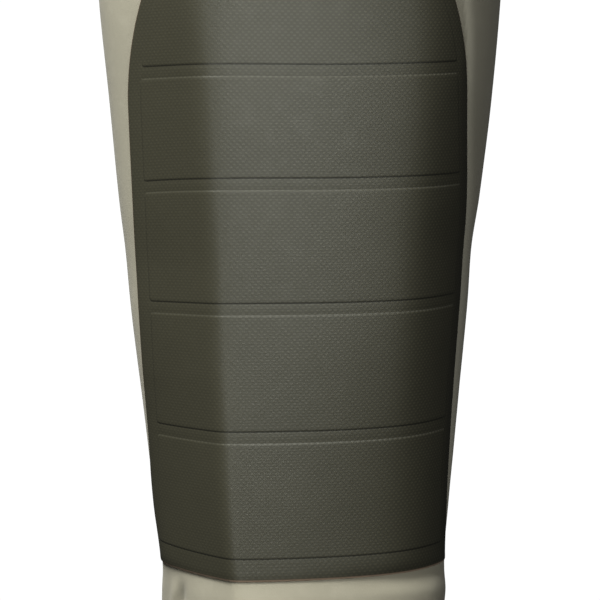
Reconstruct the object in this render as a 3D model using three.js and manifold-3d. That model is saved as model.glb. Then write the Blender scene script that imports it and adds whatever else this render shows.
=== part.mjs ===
// Hip wader for the right leg: a rubber boot foot, a fabric leg up to the hip, and a padded patch over
// knee and shin. Millimetres, +Z up, toes towards -Y, medial side towards +X. The origin lies on the
// ground under the middle of the heel.

import * as THREE from 'three';
import { mergeVertices } from 'three/addons/utils/BufferGeometryUtils.js';
import Module from 'manifold-3d';

const wasm = await Module();
wasm.setup();

// Foot and boot
const FOOT_LENGTH = 292;
const HEEL_OVERHANG = 50;
const BALL_WIDTH = 104;
const ANKLE_WIDTH = 108;
const INSTEP_HEIGHT = 132;
const BOOT_HEIGHT = 232;
const TOE_TURN = 9;
const RUBBER_WALL = 2.6;
const FOXING_RAISE = 1.4;
const COLLAR_RAISE = 1.2;
const COLLAR_BAND = 23;
const STEP_RUN = 0.8;

// Sole
const SOLE_AT_HEEL = 26;
const SOLE_AT_BALL = 14;
const TOE_SPRING = 9;
const WELT = 4.2;
const WELT_THICKNESS = 4.5;
const SOLE_SIDE = 2.6;
const SOLE_TREAD_EDGE = 1.6;
const ARCH_HEIGHT = 9;
const GROOVE_WIDTH = 4.6;
const GROOVE_DEPTH = 4;
const LUG_PITCH = 14.5;
const LENGTH_GROOVES = 38;
const INSOLE_THICKNESS = 4;
const INSOLE_PLAY = 1.2;

// Leg
const LEG_HEIGHT = 850;
const INNER_RIM_DROP = 72;
const THIGH_WIDTH = 209.5;
const THIGH_DEPTH = 211;
const LEG_AXIS_Y = -15;
const LEG_TURN = THREE.MathUtils.degToRad(12);
const FABRIC_WALL = 1.5;
const TUCK = 34;
const HEM_BAND = 30;
const HEM_RAISE = 1;

// Knee and shin patch, measured on the flat pattern from the centre line of the front
const PATCH_BOTTOM = 302.3;
const PATCH_HEIGHT = 329.3;
const PATCH_ARCH = 110.5;
const PATCH_OUTER = 114;
const PATCH_INNER = 99;
const PATCH_BORDER = 6;
const PATCH_HEM = 9.7;
const PATCH_SHEET = 1;
const PAD_RAISE = 1.3;
const CHANNEL = 5.2;

// Belt strap and its slider
const WEBBING_WIDTH = 38;
const WEBBING_THICKNESS = 1.5;
const STRAP_DROP = 165;
const STRAP_REACH = 14;
const TAB_LENGTH = 48;
const STRAP_BELOW_RIM = 8;
const FOLD_RADIUS = 3.2;
const SLIDER_DEPTH = 60;
const SLIDER_THICKNESS = 3;
const SLIDER_BAR = 4;
const SLIDER_WINDOW = 8;
const SLIDER_PLAY = 1;
const SLIDER_CORNER = 3.2;

const GAP = 0.3;
const CUT_CLEAR = 1;
const COLUMNS = 40;
const HALF = COLUMNS / 2;
const FRONT_COLUMNS = 10;

// Sections of the leg, as shares of its height, of the thigh's width and of the thigh's depth.
// ridge is where the shin stands out, and shin and calf say how flat the front's two sides are.
const LEG_SECTIONS = [
  { up: 0.000, outer: 0.272, inner: 0.281, front: 0.318, back: 0.318, ridge: -0.038, shin: 2.00, crown: 2.00 },
  { up: 0.231, outer: 0.286, inner: 0.291, front: 0.327, back: 0.327, ridge: -0.048, shin: 1.95, crown: 1.95 },
  { up: 0.273, outer: 0.298, inner: 0.308, front: 0.336, back: 0.336, ridge: -0.072, shin: 1.80, crown: 1.85 },
  { up: 0.335, outer: 0.311, inner: 0.329, front: 0.346, back: 0.360, ridge: -0.119, shin: 1.35, crown: 1.50 },
  { up: 0.358, outer: 0.315, inner: 0.329, front: 0.351, back: 0.374, ridge: -0.129, shin: 1.30, crown: 1.48 },
  { up: 0.391, outer: 0.332, inner: 0.337, front: 0.360, back: 0.393, ridge: -0.138, shin: 1.30, crown: 1.48 },
  { up: 0.447, outer: 0.358, inner: 0.358, front: 0.374, back: 0.417, ridge: -0.153, shin: 1.35, crown: 1.50 },
  { up: 0.502, outer: 0.385, inner: 0.380, front: 0.389, back: 0.427, ridge: -0.172, shin: 1.40, crown: 1.52 },
  { up: 0.531, outer: 0.396, inner: 0.387, front: 0.398, back: 0.422, ridge: -0.181, shin: 1.45, crown: 1.55 },
  { up: 0.559, outer: 0.410, inner: 0.404, front: 0.408, back: 0.412, ridge: -0.191, shin: 1.50, crown: 1.58 },
  { up: 0.615, outer: 0.432, inner: 0.433, front: 0.427, back: 0.412, ridge: -0.205, shin: 1.60, crown: 1.65 },
  { up: 0.671, outer: 0.455, inner: 0.454, front: 0.441, back: 0.431, ridge: -0.220, shin: 1.65, crown: 1.70 },
  { up: 0.744, outer: 0.473, inner: 0.470, front: 0.460, back: 0.460, ridge: -0.191, shin: 1.80, crown: 1.85 },
  { up: 0.847, outer: 0.487, inner: 0.484, front: 0.479, back: 0.488, ridge: -0.119, shin: 1.95, crown: 1.95 },
  { up: 1.000, outer: 0.501, inner: 0.499, front: 0.493, back: 0.507, ridge: -0.048, shin: 2.00, crown: 2.00 },
];

// Side edges of the patch below its arch, as shares of its two half widths.
const PATCH_EDGES = [
  { up: 0.000, outer: 1.009, inner: 1.030 },
  { up: 0.180, outer: 0.995, inner: 0.953 },
  { up: 0.382, outer: 0.994, inner: 1.004 },
  { up: 0.467, outer: 0.981, inner: 1.038 },
  { up: 0.525, outer: 0.956, inner: 1.011 },
  { up: 0.609, outer: 0.929, inner: 0.965 },
  { up: 0.664, outer: 0.918, inner: 0.952 },
];

// Lower edge of each pad, as shares of the patch's height above its hem.
const PAD_EDGES = [0.0295, 0.2065, 0.3832, 0.5545, 0.7103, 0.8615];

// Outline of the foot's two sides, from heel to toe, as shares of the ball's width.
const FOOT_OUTLINE = [
  { along: 0.00, inner: 0.345, outer: 0.345, centre: 0.00 },
  { along: 0.12, inner: 0.365, outer: 0.365, centre: 0.00 },
  { along: 0.28, inner: 0.352, outer: 0.378, centre: 0.00 },
  { along: 0.42, inner: 0.345, outer: 0.412, centre: 0.03 },
  { along: 0.55, inner: 0.392, outer: 0.455, centre: 0.15 },
  { along: 0.66, inner: 0.456, outer: 0.484, centre: 0.35 },
  { along: 0.75, inner: 0.484, outer: 0.472, centre: 0.55 },
  { along: 0.86, inner: 0.468, outer: 0.446, centre: 0.80 },
  { along: 1.00, inner: 0.430, outer: 0.410, centre: 1.00 },
];

// The bed on which foot and upper stand: heel is the share of the heel's lift, spring of the toe's.
const BED = [
  { along: 0.00, heel: 1.00, spring: 0.00 },
  { along: 0.26, heel: 1.00, spring: 0.00 },
  { along: 0.36, heel: 0.82, spring: 0.00 },
  { along: 0.47, heel: 0.38, spring: 0.00 },
  { along: 0.60, heel: 0.04, spring: 0.00 },
  { along: 0.72, heel: 0.00, spring: 0.02 },
  { along: 0.82, heel: 0.00, spring: 0.22 },
  { along: 0.91, heel: 0.00, spring: 0.58 },
  { along: 1.00, heel: 0.00, spring: 1.00 },
];

// The hollow under the arch, from the heel's breast forwards, as shares of length and of its height.
const ARCH = [
  { along: 0.285, up: 0.00 },
  { along: 0.293, up: 1.00 },
  { along: 0.421, up: 0.55 },
  { along: 0.455, up: 0.00 },
];
const HEEL_GROOVES = [0.090, 0.147, 0.205];
const TREAD_END = 0.955;

// Rings of the boot from its lower edge to above the ankle. front and back are shares of the foot's
// length from the heel, up and upBack shares of the instep's height above the bed, toe and heel the
// lengths over which the ring rounds off, full says how broad its front end is, and ankle is its share
// of the ankle's shape. The first rings make the raised foxing.
const BOOT_RINGS = [
  { front: 0.980, back: 0.006, up: 0.000, upBack: 0.000, toe: 0.26, heel: 0.130, full: 2.3, ankle: 0.00 },
  { front: 0.996, back: 0.000, up: 0.090, upBack: 0.105, toe: 0.28, heel: 0.135, full: 2.3, ankle: 0.00 },
  { front: 0.998, back: -0.003, up: 0.160, upBack: 0.175, toe: 0.30, heel: 0.140, full: 2.3, ankle: 0.00 },
  { front: 0.997, back: -0.003, up: 0.166, upBack: 0.181, toe: 0.31, heel: 0.140, full: 2.3, ankle: 0.00 },
  { front: 0.986, back: -0.003, up: 0.255, upBack: 0.255, toe: 0.36, heel: 0.145, full: 2.4, ankle: 0.00 },
  { front: 0.952, back: -0.001, up: 0.345, upBack: 0.340, toe: 0.44, heel: 0.150, full: 2.5, ankle: 0.00 },
  { front: 0.880, back: 0.004, up: 0.435, upBack: 0.420, toe: 0.52, heel: 0.155, full: 2.6, ankle: 0.04 },
  { front: 0.775, back: 0.011, up: 0.520, upBack: 0.505, toe: 0.54, heel: 0.165, full: 2.6, ankle: 0.14 },
  { front: 0.665, back: 0.018, up: 0.620, upBack: 0.595, toe: 0.48, heel: 0.180, full: 2.4, ankle: 0.42 },
  { front: 0.570, back: 0.022, up: 0.750, upBack: 0.700, toe: 0.35, heel: 0.205, full: 2.2, ankle: 0.70 },
  { front: 0.508, back: 0.022, up: 0.900, upBack: 0.840, toe: 0.26, heel: 0.228, full: 2.1, ankle: 0.90 },
  { front: 0.482, back: 0.014, up: 1.060, upBack: 1.010, toe: 0.240, heel: 0.236, full: 2.0, ankle: 1.00 },
];
const FOXING_RINGS = 3;
const RING_ABOVE_ANKLE = { up: 0.45, leg: 0.5 };
const THIGH_ROW = 0.2;

// A monotone cubic through one column of a table, after Fritsch and Carlson.
function through(table, key, column) {
  const at = table.map((row) => row[key]);
  const value = table.map((row) => row[column]);
  const last = at.length - 1;
  const rise = at.slice(1).map((x, i) => (value[i + 1] - value[i]) / (x - at[i]));
  const slope = at.map((_, i) => {
    if (i === 0) return rise[0];
    if (i === last) return rise[last - 1];
    const before = rise[i - 1];
    const after = rise[i];
    return before * after <= 0 ? 0 : (2 * before * after) / (before + after);
  });
  return (x) => {
    const inside = THREE.MathUtils.clamp(x, at[0], at[last]);
    let i = 0;
    while (i < last - 1 && inside > at[i + 1]) i += 1;
    const width = at[i + 1] - at[i];
    const t = (inside - at[i]) / width;
    const h00 = (1 + 2 * t) * (1 - t) ** 2;
    const h10 = t * (1 - t) ** 2;
    const h01 = t * t * (3 - 2 * t);
    const h11 = t * t * (t - 1);
    return h00 * value[i] + h10 * width * slope[i] + h01 * value[i + 1] + h11 * width * slope[i + 1];
  };
}

function curves(table, key) {
  const columns = Object.keys(table[0]).filter((name) => name !== key);
  return Object.fromEntries(columns.map((name) => [name, through(table, key, name)]));
}

const legCurves = curves(LEG_SECTIONS, 'up');
const edgeCurves = curves(PATCH_EDGES, 'up');
const outlineCurves = curves(FOOT_OUTLINE, 'along');
const bedCurves = curves(BED, 'along');
const lerp = THREE.MathUtils.lerp;

// A quarter of a rounded end: 0 at the tip, 1 from the full length on.
function roundEnd(share, fullness) {
  const rest = 1 - THREE.MathUtils.clamp(share, 0, 1);
  return (1 - rest ** fullness) ** (1 / fullness);
}

// One horizontal section of the leg, measured along its outline from the centre of the front.
// across runs to the medial side and ahead to the front.
const sections = new Map();
function legSection(z) {
  if (sections.has(z)) return sections.get(z);
  const up = z / LEG_HEIGHT;
  const outer = legCurves.outer(up) * THIGH_WIDTH;
  const inner = legCurves.inner(up) * THIGH_WIDTH;
  const front = legCurves.front(up) * THIGH_DEPTH;
  const back = legCurves.back(up) * THIGH_DEPTH;
  const ridge = legCurves.ridge(up) * THIGH_WIDTH;
  const steps = 720;
  const points = [];
  for (let i = 0; i <= steps; i += 1) {
    const turn = (i / steps) * 2 * Math.PI - Math.PI;
    const sine = Math.sin(turn);
    const cosine = Math.cos(turn);
    const ahead = cosine >= 0;
    const medial = sine >= 0;
    const middle = ahead ? ridge : 0;
    const reach = medial ? inner - middle : outer + middle;
    const fullness = ahead ? (medial ? legCurves.crown(up) : legCurves.shin(up)) : 2;
    points.push({
      across: middle + Math.sign(sine) * reach * Math.abs(sine) ** (2 / fullness),
      ahead: (ahead ? front : -back) * Math.abs(cosine) ** (2 / fullness),
    });
  }
  const arc = [0];
  for (let i = 1; i <= steps; i += 1) {
    const step = Math.hypot(points[i].across - points[i - 1].across, points[i].ahead - points[i - 1].ahead);
    arc.push(arc[i - 1] + step);
  }
  const nearer = (best, p, i) => (p.ahead > 0 && Math.abs(p.across) < Math.abs(points[best].across) ? i : best);
  const centre = points.reduce(nearer, steps / 2);
  const zero = arc[centre] - points[centre].across;
  const section = {
    points, arc, zero, girth: arc[steps], ridge: arc[steps / 2] - zero, side: arc[steps / 4] - zero,
  };
  sections.set(z, section);
  return section;
}

// The point of a section that lies a given length along its outline from the centre of the front.
function onSection(section, along) {
  const target = THREE.MathUtils.euclideanModulo(along + section.zero, section.girth);
  let low = 0;
  let high = section.arc.length - 1;
  while (high - low > 1) {
    const mid = (low + high) >> 1;
    if (section.arc[mid] <= target) low = mid;
    else high = mid;
  }
  const t = (target - section.arc[low]) / (section.arc[high] - section.arc[low]);
  return {
    across: lerp(section.points[low].across, section.points[high].across, t),
    ahead: lerp(section.points[low].ahead, section.points[high].ahead, t),
  };
}

// A point on the leg, a given length along the section at height z, and stood off along its normal.
function legPoint(z, along, off) {
  const section = legSection(z);
  const reach = 1.5;
  const here = onSection(section, along);
  const before = onSection(section, along - reach);
  const after = onSection(section, along + reach);
  const tangent = new THREE.Vector2(after.across - before.across, after.ahead - before.ahead).normalize();
  const across = here.across - tangent.y * off;
  const ahead = here.ahead + tangent.x * off;
  return new THREE.Vector3(
    across * Math.cos(LEG_TURN) + ahead * Math.sin(LEG_TURN),
    LEG_AXIS_Y + across * Math.sin(LEG_TURN) - ahead * Math.cos(LEG_TURN),
    z,
  );
}

const patchTop = PATCH_BOTTOM + PATCH_HEIGHT;
const archSpring = patchTop - PATCH_ARCH;

// Where the patch's two side edges run on the leg. Below and above the patch they keep their share of
// the girth, so that the leg's own columns follow them all the way.
function patchEdge(z, side) {
  const level = THREE.MathUtils.clamp(z, PATCH_BOTTOM, archSpring);
  const up = (level - PATCH_BOTTOM) / PATCH_HEIGHT;
  const edge = side > 0 ? edgeCurves.inner(up) * PATCH_INNER : -edgeCurves.outer(up) * PATCH_OUTER;
  return (edge * legSection(z).girth) / legSection(level).girth;
}

// How far along the section a column of the leg stands. Columns run from the centre of the front,
// positive to the medial side, over the shin's ridge on the outer side, to the centre of the back.
function columnArc(z, column) {
  const side = Math.sign(column);
  const step = Math.abs(column);
  const section = legSection(z);
  const edge = patchEdge(z, side);
  if (step > FRONT_COLUMNS) {
    const behind = (step - FRONT_COLUMNS) / (HALF - FRONT_COLUMNS);
    return lerp(edge, (side * section.girth) / 2, behind);
  }
  if (side >= 0) return (edge * step) / FRONT_COLUMNS;
  const ridgeStep = 3;
  if (step <= ridgeStep) return (section.ridge * step) / ridgeStep;
  return lerp(section.ridge, edge, (step - ridgeStep) / (FRONT_COLUMNS - ridgeStep));
}

// Columns 0 to COLUMNS - 1 go once round, by way of the medial side.
function signedColumn(index) {
  return index <= HALF ? index : index - COLUMNS;
}

// The boot

function heelY(share) {
  return HEEL_OVERHANG - share * FOOT_LENGTH;
}

function alongFoot(y) {
  return (HEEL_OVERHANG - y) / FOOT_LENGTH;
}

function springHeight(y) {
  return TOE_SPRING * bedCurves.spring(alongFoot(y));
}

function bedHeight(y) {
  const along = alongFoot(y);
  return SOLE_AT_BALL + (SOLE_AT_HEEL - SOLE_AT_BALL) * bedCurves.heel(along) + springHeight(y);
}

function footHalf(y, side) {
  const share = side > 0 ? outlineCurves.inner(alongFoot(y)) : outlineCurves.outer(alongFoot(y));
  return share * BALL_WIDTH;
}

function footCentre(y) {
  return TOE_TURN * outlineCurves.centre(alongFoot(y));
}

// A point of a boot ring. Columns start at the front and go round by way of the medial side.
function ringPoint(ring, index) {
  const turn = (index / COLUMNS) * 2 * Math.PI;
  const along = (1 - Math.cos(turn)) / 2;
  const side = index <= HALF ? 1 : -1;
  const front = heelY(ring.front);
  const back = heelY(ring.back);
  const y = lerp(front, back, along);
  const half = lerp(footHalf(y, side), ANKLE_WIDTH / 2, ring.ankle);
  const toe = roundEnd((y - front) / (ring.toe * FOOT_LENGTH), ring.full);
  const heel = roundEnd((back - y) / (ring.heel * FOOT_LENGTH), 2);
  const level = bedHeight(y) - lerp(bedHeight(front), bedHeight(back), along);
  const base = lerp(
    bedHeight(front) + ring.up * INSTEP_HEIGHT,
    bedHeight(back) + ring.upBack * INSTEP_HEIGHT,
    along,
  );
  const centre = footCentre(y) * (1 - ring.ankle);
  return new THREE.Vector3(centre + side * half * toe * heel, y, GAP + base + level * (1 - ring.ankle));
}

// Rings of the boot's shaft follow the leg that is bonded into it.
function collarPoint(z, index) {
  return legPoint(z, columnArc(z, signedColumn(index)), GAP + RUBBER_WALL);
}

function bootRows() {
  const rows = BOOT_RINGS.map((ring, j) => ({
    points: Array.from({ length: COLUMNS }, (_, i) => ringPoint(ring, i)),
    raise: j < FOXING_RINGS ? FOXING_RAISE : 0,
  }));
  const legEnd = BOOT_HEIGHT - TUCK;
  const last = rows[rows.length - 1].points;
  rows.push({
    points: last.map((p, i) => {
      const z = lerp(p.z, legEnd, RING_ABOVE_ANKLE.up);
      return p.clone().lerp(collarPoint(z, i), RING_ABOVE_ANKLE.leg).setZ(z);
    }),
    raise: 0,
  });
  const bandFoot = BOOT_HEIGHT - COLLAR_BAND;
  [
    [legEnd - GAP, 0],
    [bandFoot, 0],
    [bandFoot + STEP_RUN, COLLAR_RAISE],
    [BOOT_HEIGHT, COLLAR_RAISE],
  ].forEach(([z, raise]) => {
    rows.push({ points: Array.from({ length: COLUMNS }, (_, i) => collarPoint(z, i)), raise });
  });
  return rows;
}

// Outward normals of a closed band of rings.
function ringNormals(rows) {
  return rows.map((row, j) => row.map((_, i) => {
    const around = new THREE.Vector3().subVectors(
      row[(i + 1) % row.length],
      row[(i + row.length - 1) % row.length],
    );
    const above = rows[Math.min(j + 1, rows.length - 1)][i];
    const below = rows[Math.max(j - 1, 0)][i];
    const normal = around.cross(new THREE.Vector3().subVectors(above, below));
    if (j === 0 || j === rows.length - 1) normal.z = 0;
    return normal.normalize();
  }));
}

function meshFrom(vertices, triangles) {
  const geometry = new THREE.BufferGeometry();
  geometry.setAttribute('position', new THREE.Float32BufferAttribute(vertices.flatMap((v) => v.toArray()), 3));
  geometry.setIndex(triangles.flat());
  return geometry;
}

// A hollow wall between an outer and an inner band of rings, closed by a rim at each end.
function wallBetween(outer, inner) {
  const around = outer[0].length;
  const rows = outer.length;
  const vertices = [...outer.flat(), ...inner.flat()];
  const at = (layer, j, i) => layer * rows * around + j * around + (i % around);
  const triangles = [];
  const quad = (a, b, c, d) => triangles.push([a, b, c], [a, c, d]);
  for (let i = 0; i < around; i += 1) {
    for (let j = 0; j < rows - 1; j += 1) {
      quad(at(0, j, i), at(0, j, i + 1), at(0, j + 1, i + 1), at(0, j + 1, i));
      quad(at(1, j, i), at(1, j + 1, i), at(1, j + 1, i + 1), at(1, j, i + 1));
    }
    quad(at(0, 0, i), at(1, 0, i), at(1, 0, i + 1), at(0, 0, i + 1));
    quad(at(0, rows - 1, i), at(0, rows - 1, i + 1), at(1, rows - 1, i + 1), at(1, rows - 1, i));
  }
  return meshFrom(vertices, triangles);
}

// A solid block from a stack of rings, closed below and above by ladders across the ring.
function blockOf(rings) {
  const around = rings[0].length;
  const half = around / 2;
  const at = (j, i) => j * around + (i % around);
  const triangles = [];
  const quad = (a, b, c, d) => triangles.push([a, b, c], [a, c, d]);
  for (let j = 0; j < rings.length - 1; j += 1) {
    for (let i = 0; i < around; i += 1) quad(at(j, i), at(j, i + 1), at(j + 1, i + 1), at(j + 1, i));
  }
  const top = rings.length - 1;
  for (let i = 0; i < half; i += 1) {
    const left = (j, k) => at(j, around - k);
    if (i === 0) {
      triangles.push([at(0, 0), left(0, 1), at(0, 1)]);
      triangles.push([at(top, 0), at(top, 1), left(top, 1)]);
    } else if (i === half - 1) {
      triangles.push([at(0, i), left(0, i), at(0, half)]);
      triangles.push([at(top, i), at(top, half), left(top, i)]);
    } else {
      quad(at(0, i), left(0, i), left(0, i + 1), at(0, i + 1));
      quad(at(top, i), at(top, i + 1), left(top, i + 1), left(top, i));
    }
  }
  return meshFrom(rings.flat(), triangles);
}

// Boolean work on closed meshes

function solidOf(geometry) {
  const bare = geometry.clone();
  bare.deleteAttribute('normal');
  bare.deleteAttribute('uv');
  const merged = mergeVertices(bare, 1e-4);
  return new wasm.Manifold(new wasm.Mesh({
    numProp: 3,
    vertProperties: new Float32Array(merged.attributes.position.array),
    triVerts: new Uint32Array(merged.index.array),
  }));
}

function geometryOf(solid) {
  const mesh = solid.getMesh();
  const geometry = new THREE.BufferGeometry();
  geometry.setAttribute('position', new THREE.BufferAttribute(mesh.vertProperties, 3));
  geometry.setIndex(new THREE.BufferAttribute(mesh.triVerts, 1));
  return geometry;
}

// Pieces

function makeBootUpper() {
  const rows = bootRows();
  const base = rows.map((row) => row.points);
  const normals = ringNormals(base);
  const stood = (off) => base.map((row, j) => row.map((p, i) => (
    p.clone().addScaledVector(normals[j][i], off(rows[j]))
  )));
  return wallBetween(stood((row) => row.raise), stood(() => -RUBBER_WALL));
}

// The outline of the boot's lower edge, moved outwards by off and set at a height found from y.
function soleRing(off, height) {
  const foot = Array.from({ length: COLUMNS }, (_, i) => ringPoint(BOOT_RINGS[0], i));
  return foot.map((p, i) => {
    const next = foot[(i + 1) % COLUMNS];
    const last = foot[(i + COLUMNS - 1) % COLUMNS];
    const normal = new THREE.Vector2(next.y - last.y, last.x - next.x).normalize();
    const x = p.x + normal.x * off;
    const y = p.y + normal.y * off;
    return new THREE.Vector3(x, y, height(y));
  });
}

// A groove across the sole.
function crossGroove(y, depth) {
  const box = new THREE.BoxGeometry(2 * BALL_WIDTH, GROOVE_WIDTH, depth + CUT_CLEAR);
  return solidOf(box.translate(0, y, (depth - CUT_CLEAR) / 2));
}

function archCutter() {
  const height = (up) => (up > 0 ? up * ARCH_HEIGHT : -CUT_CLEAR);
  const edge = new THREE.Shape(ARCH.map(({ along, up }) => new THREE.Vector2(heelY(along), height(up))));
  const cutter = new THREE.ExtrudeGeometry(edge, { depth: 2 * BALL_WIDTH, bevelEnabled: false });
  return solidOf(cutter.rotateX(Math.PI / 2).rotateZ(Math.PI / 2).translate(-BALL_WIDTH, 0, 0));
}

function makeOutsole() {
  const side = FOXING_RAISE + SOLE_SIDE;
  const lip = FOXING_RAISE + WELT;
  const underWelt = (y) => bedHeight(y) - WELT_THICKNESS;
  let sole = solidOf(blockOf([
    soleRing(SOLE_TREAD_EDGE, springHeight),
    soleRing(side, (y) => springHeight(y) + GROOVE_DEPTH),
    soleRing(side, underWelt),
    soleRing(lip, (y) => underWelt(y) + STEP_RUN),
    soleRing(lip, bedHeight),
  ]));
  sole = sole.subtract(archCutter());
  const treadStart = heelY(ARCH[ARCH.length - 1].along);
  const treadEnd = heelY(TREAD_END);
  for (let y = treadStart - LUG_PITCH; y > treadEnd; y -= LUG_PITCH) {
    sole = sole.subtract(crossGroove(y, springHeight(y) + GROOVE_DEPTH));
  }
  HEEL_GROOVES.forEach((along) => {
    sole = sole.subtract(crossGroove(heelY(along), GROOVE_DEPTH));
  });
  [-1, 1].forEach((hand) => {
    const groove = new THREE.BoxGeometry(GROOVE_WIDTH, treadStart - treadEnd, 2 * GROOVE_DEPTH);
    groove.translate((hand * LENGTH_GROOVES) / 2, (treadStart + treadEnd) / 2, 0);
    sole = sole.subtract(solidOf(groove));
  });
  return geometryOf(sole);
}

function makeInsole() {
  const inset = -(RUBBER_WALL + INSOLE_PLAY);
  return blockOf([
    soleRing(inset, (y) => bedHeight(y) + GAP),
    soleRing(inset, (y) => bedHeight(y) + GAP + INSOLE_THICKNESS),
  ]);
}

// Heights of the leg's rows. In the patch they stand at the patch's hem, in its channels and half way
// up its pads.
function padLow(k) {
  return PATCH_BOTTOM + PAD_EDGES[k] * PATCH_HEIGHT;
}

function padHigh(k) {
  return k + 1 < PAD_EDGES.length ? padLow(k + 1) - CHANNEL : patchTop - PATCH_BORDER;
}

function patchLevels() {
  const levels = [PATCH_BOTTOM];
  PAD_EDGES.forEach((_, k) => {
    levels.push(k === 0 ? padLow(0) : padLow(k) - CHANNEL / 2);
    if (k + 1 < PAD_EDGES.length) levels.push((padLow(k) + padHigh(k)) / 2);
  });
  const top = padLow(PAD_EDGES.length - 1) - CHANNEL / 2;
  levels.push(lerp(top, patchTop, 0.5), patchTop);
  return levels;
}

function rimHeight(index) {
  const top = legSection(LEG_HEIGHT);
  const { across } = onSection(top, columnArc(LEG_HEIGHT, signedColumn(index)));
  return LEG_HEIGHT - INNER_RIM_DROP * (0.5 + across / THIGH_WIDTH);
}

function legRows() {
  const foot = BOOT_HEIGHT - TUCK;
  const level = (z) => ({ z: () => z, raise: 0 });
  const rows = [foot, BOOT_HEIGHT - COLLAR_BAND, BOOT_HEIGHT, lerp(BOOT_HEIGHT, PATCH_BOTTOM, 0.5)].map(level);
  rows.push(...patchLevels().map(level));
  const shoulder = lerp(patchTop, LEG_HEIGHT, THIGH_ROW);
  rows.push(level(shoulder));
  const upTo = (share, below, raise) => ({
    z: (i) => lerp(shoulder, rimHeight(i) - HEM_BAND, share) + below,
    raise,
  });
  rows.push(upTo(0.5, 0, 0), upTo(1, 0, 0), upTo(1, STEP_RUN, HEM_RAISE), upTo(1, HEM_BAND, HEM_RAISE));
  return rows;
}

function makeLegShaft() {
  const rows = legRows();
  const layer = (off) => rows.map((row) => Array.from({ length: COLUMNS }, (_, i) => {
    const z = row.z(i);
    return legPoint(z, columnArc(z, signedColumn(i)), off(row));
  }));
  return wallBetween(layer((row) => row.raise), layer(() => -FABRIC_WALL));
}

// The patch's columns: those of the leg, and two more for the edge of the pads on either side.
function patchColumns() {
  const columns = [];
  for (let c = -FRONT_COLUMNS; c <= FRONT_COLUMNS; c += 1) {
    columns.push({ column: c, inset: 0, pad: Math.abs(c) < FRONT_COLUMNS });
  }
  const step = (side, inset, pad) => ({ column: side * FRONT_COLUMNS, inset, pad });
  columns.splice(1, 0, step(-1, PATCH_BORDER, false), step(-1, PATCH_BORDER + STEP_RUN, true));
  columns.splice(-1, 0, step(1, PATCH_BORDER + STEP_RUN, true), step(1, PATCH_BORDER, false));
  return columns;
}

function patchArc(z, column) {
  return columnArc(z, column.column) - Math.sign(column.column) * column.inset;
}

// Where a column meets the patch's arch, or the same arch drawn a border's width inside it. The arch is
// an ellipse as seen from the front.
function crownHeight(column, border) {
  const side = Math.sign(column.column) || 1;
  const edge = patchEdge(archSpring, side) - side * border;
  const reach = onSection(legSection(archSpring), edge).across;
  let z = archSpring;
  for (let turn = 0; turn < 6; turn += 1) {
    const { across } = onSection(legSection(z), patchArc(z, column));
    const share = THREE.MathUtils.clamp(across / reach, -1, 1);
    z = archSpring + (PATCH_ARCH - border) * Math.sqrt(1 - share * share);
  }
  return z;
}

// One column of the patch from hem to arch. Each point has its height, whether it is on a pad, and, at
// an edge, the edge's name.
function patchColumn(column) {
  const top = crownHeight(column, 0);
  const padTop = crownHeight(column, PATCH_BORDER);
  const rows = [{ z: PATCH_BOTTOM, pad: false, edge: 'hem' }];
  const pads = [];
  PAD_EDGES.forEach((_, k) => {
    const low = padLow(k);
    const crowned = padHigh(k) >= padTop;
    const high = crowned ? padTop : padHigh(k);
    if (high - low < 4 * STEP_RUN) return;
    pads.push([low + STEP_RUN, high - STEP_RUN]);
    rows.push({ z: low, pad: false, edge: `low${k}` });
    rows.push({ z: low + STEP_RUN, pad: true, edge: `bottom${k}` });
    rows.push({ z: high - STEP_RUN, pad: true, edge: crowned ? 'crownPad' : `top${k}` });
    rows.push({ z: high, pad: false, edge: crowned ? 'crownEdge' : `high${k}` });
  });
  patchLevels().forEach((z) => {
    const clear = rows.every((row) => Math.abs(row.z - z) > STEP_RUN / 4);
    const pad = pads.some(([low, high]) => z > low && z < high);
    if (clear && z < top - STEP_RUN) rows.push({ z, pad });
  });
  rows.push({ z: top, pad: false, edge: 'top' });
  rows.sort((a, b) => a.z - b.z);
  return rows.map((row) => ({ ...row, pad: row.pad && column.pad }));
}

// Triangles of the strip between two columns. Edges that both columns have are joined, and what lies
// between them is joined at the nearer heights.
function zip(left, right, leftFirst, rightFirst) {
  const partner = (row) => (row.edge ? right.findIndex((other) => other.edge === row.edge) : -1);
  const shared = left.map((row, i) => [i, partner(row)]);
  const anchors = shared.filter(([, j]) => j >= 0);
  const triangles = [];
  for (let k = 0; k < anchors.length - 1; k += 1) {
    let [i, j] = anchors[k];
    const [iEnd, jEnd] = anchors[k + 1];
    while (i < iEnd || j < jEnd) {
      const upLeft = j === jEnd || (i < iEnd && left[i + 1].z < right[j + 1].z - 1e-6);
      if (upLeft) {
        triangles.push([leftFirst + i, rightFirst + j, leftFirst + i + 1]);
        i += 1;
      } else {
        triangles.push([leftFirst + i, rightFirst + j, rightFirst + j + 1]);
        j += 1;
      }
    }
  }
  return triangles;
}

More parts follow.
